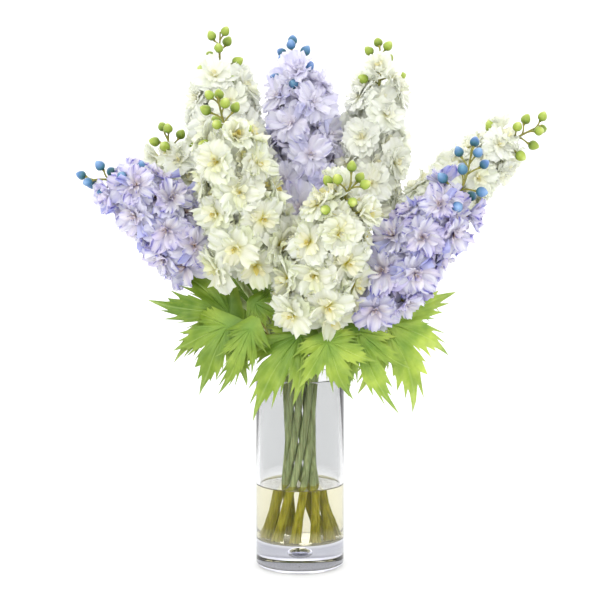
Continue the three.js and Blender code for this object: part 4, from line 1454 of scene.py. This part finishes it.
# %% [markdown]
# ## Water
# Still water is a flat disc on top, with a small meniscus where it climbs the wall. A body of water
# that ended just short of the glass would leave a film of air, which shines like a mirror. It is
# therefore turned on a profile that reaches a hair into the glass.

# %% Water
HAIR = 0.0002  # the water reaches this far into the glass
MENISCUS = 0.0016  # how far it climbs the wall


def water_profile():
    """The water overlaps the wall and the floor by a hair, which renders as wet glass with no gap."""
    r, base, floor = VASE["radius"] - VASE["wall"], VASE["base"], VASE["floor_round"]
    climb = quarter(r + HAIR - MENISCUS, WATER_LEVEL + MENISCUS, MENISCUS, 0, -90, 6)
    return [(0, base - HAIR), (SUPPORT, base - HAIR),
            *quarter(r - floor, base + floor, floor + HAIR, -90, 0, 8), (r + HAIR, WATER_LEVEL), *climb,
            (r - MARGIN, WATER_LEVEL), (SUPPORT, WATER_LEVEL), (0, WATER_LEVEL)]


water = turned("water_body", [water_profile()])
water.data.materials.append(WATER)
seat(water, "water", "water")
print("water", [round(side, 3) for side in water.dimensions])

# %% [markdown]
# ## Light, floor and camera
# White petals need soft light, or their shape burns out. A wide sky of light from all round fills
# them, and it is brightest near the horizon, which reaches in between the flowers. One large soft sun
# from the upper left gives them form, and a second one behind shines through the thin petals. Clear
# glass shows only what it reflects, so the sky is darker at both sides, which draws the vase's edges.
# The floor is a plain pale sheet that ends far out of sight. The camera stands well back and looks
# down a little, so the spikes keep their true proportions.

# %% Floor
FLOOR_EDGE = 60  # so far out that its edge is never seen
FLOOR_GREY = 0.81
floor = link_object("floor", bpy.data.meshes.new("floor"))
corners = [(x * FLOOR_EDGE, y * FLOOR_EDGE, 0) for x, y in ((-1, -1), (1, -1), (1, 1), (-1, 1))]
floor.data.from_pydata(corners, [], [(0, 1, 2, 3)])
material, tree, shader = new_material("floor", roughness=0.9, specular_ior_level=0.1)
shader.inputs["Base Color"].default_value = (FLOOR_GREY, FLOOR_GREY, FLOOR_GREY, 1)
floor.data.materials.append(material)
print("floor", [round(side) for side in floor.dimensions])

# %% Sky
SKY_COLOURS = [(0.0, "FFFFFF"), (0.8, "F4F4F6"), (0.93, "B0B0B6"), (1.0, "90909A")]  # from middle to sides
SKY_STRENGTH = dict(horizon=2.4, high=1.35, height=0.85)
world = bpy.data.worlds.new("studio")
bpy.context.scene.world = world
world.use_nodes = True
tree = world.node_tree
ray = add(tree, "ShaderNodeTexCoord").outputs["Generated"]
sideways = maths(tree, "ABSOLUTE", add(tree, "ShaderNodeSeparateXYZ", {0: ray}).outputs["X"])
sky = ramp(tree, sideways, SKY_COLOURS)
tree.links.new(sky, tree.nodes["Background"].inputs["Color"])
height = maths(tree, "ABSOLUTE", add(tree, "ShaderNodeSeparateXYZ", {0: ray}).outputs["Z"])
strength = add(tree, "ShaderNodeMapRange", {
    "Value": height, "From Max": SKY_STRENGTH["height"], "To Min": SKY_STRENGTH["horizon"],
    "To Max": SKY_STRENGTH["high"]}, interpolation_type="SMOOTHSTEP")
tree.links.new(strength.outputs[0], tree.nodes["Background"].inputs["Strength"])
print("sky nodes", len(tree.nodes))

# %% Sun and glow
SUN_WIDTH = math.radians(50)
LAMPS = (("sun", 0.85, (1.0, 0.985, 0.96), (0.3, 1, -0.8)),  # name, energy, colour, the way it shines
         ("glow", 0.7, (0.96, 0.97, 1.0), (0, -1, -0.6)))

for name, energy, tint, way in LAMPS:
    sun = bpy.data.objects.new(name, bpy.data.lights.new(name, "SUN"))
    sun.data.energy = energy
    sun.data.color = tint
    sun.data.angle = SUN_WIDTH
    sun.rotation_euler = Vector(way).to_track_quat("-Z", "Y").to_euler()
    bpy.context.scene.collection.objects.link(sun)
    print(name, [round(math.degrees(a)) for a in sun.rotation_euler])

# %% Camera
LOOK_AT = Vector((0, 0, 0.306))
camera = bpy.data.objects.new("camera", bpy.data.cameras.new("camera"))
camera.data.lens = 170.3
camera.data.sensor_width = 36
camera.location = (0, -3.165, 0.779)
camera.rotation_euler = (LOOK_AT - camera.location).to_track_quat("-Z", "Y").to_euler()
bpy.context.scene.collection.objects.link(camera)
bpy.context.scene.camera = camera
bpy.context.scene.view_settings.view_transform = "Standard"
print("camera looks down", round(90 - math.degrees(camera.rotation_euler.x), 1), "degrees")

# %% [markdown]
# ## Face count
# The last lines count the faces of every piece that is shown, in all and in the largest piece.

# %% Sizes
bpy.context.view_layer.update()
faces = {thing.name: len(thing.data.polygons) for thing in bpy.context.scene.objects
         if thing.type == "MESH" and not thing.hide_render}
print("faces in all", sum(faces.values()), "most", max(faces.values()))
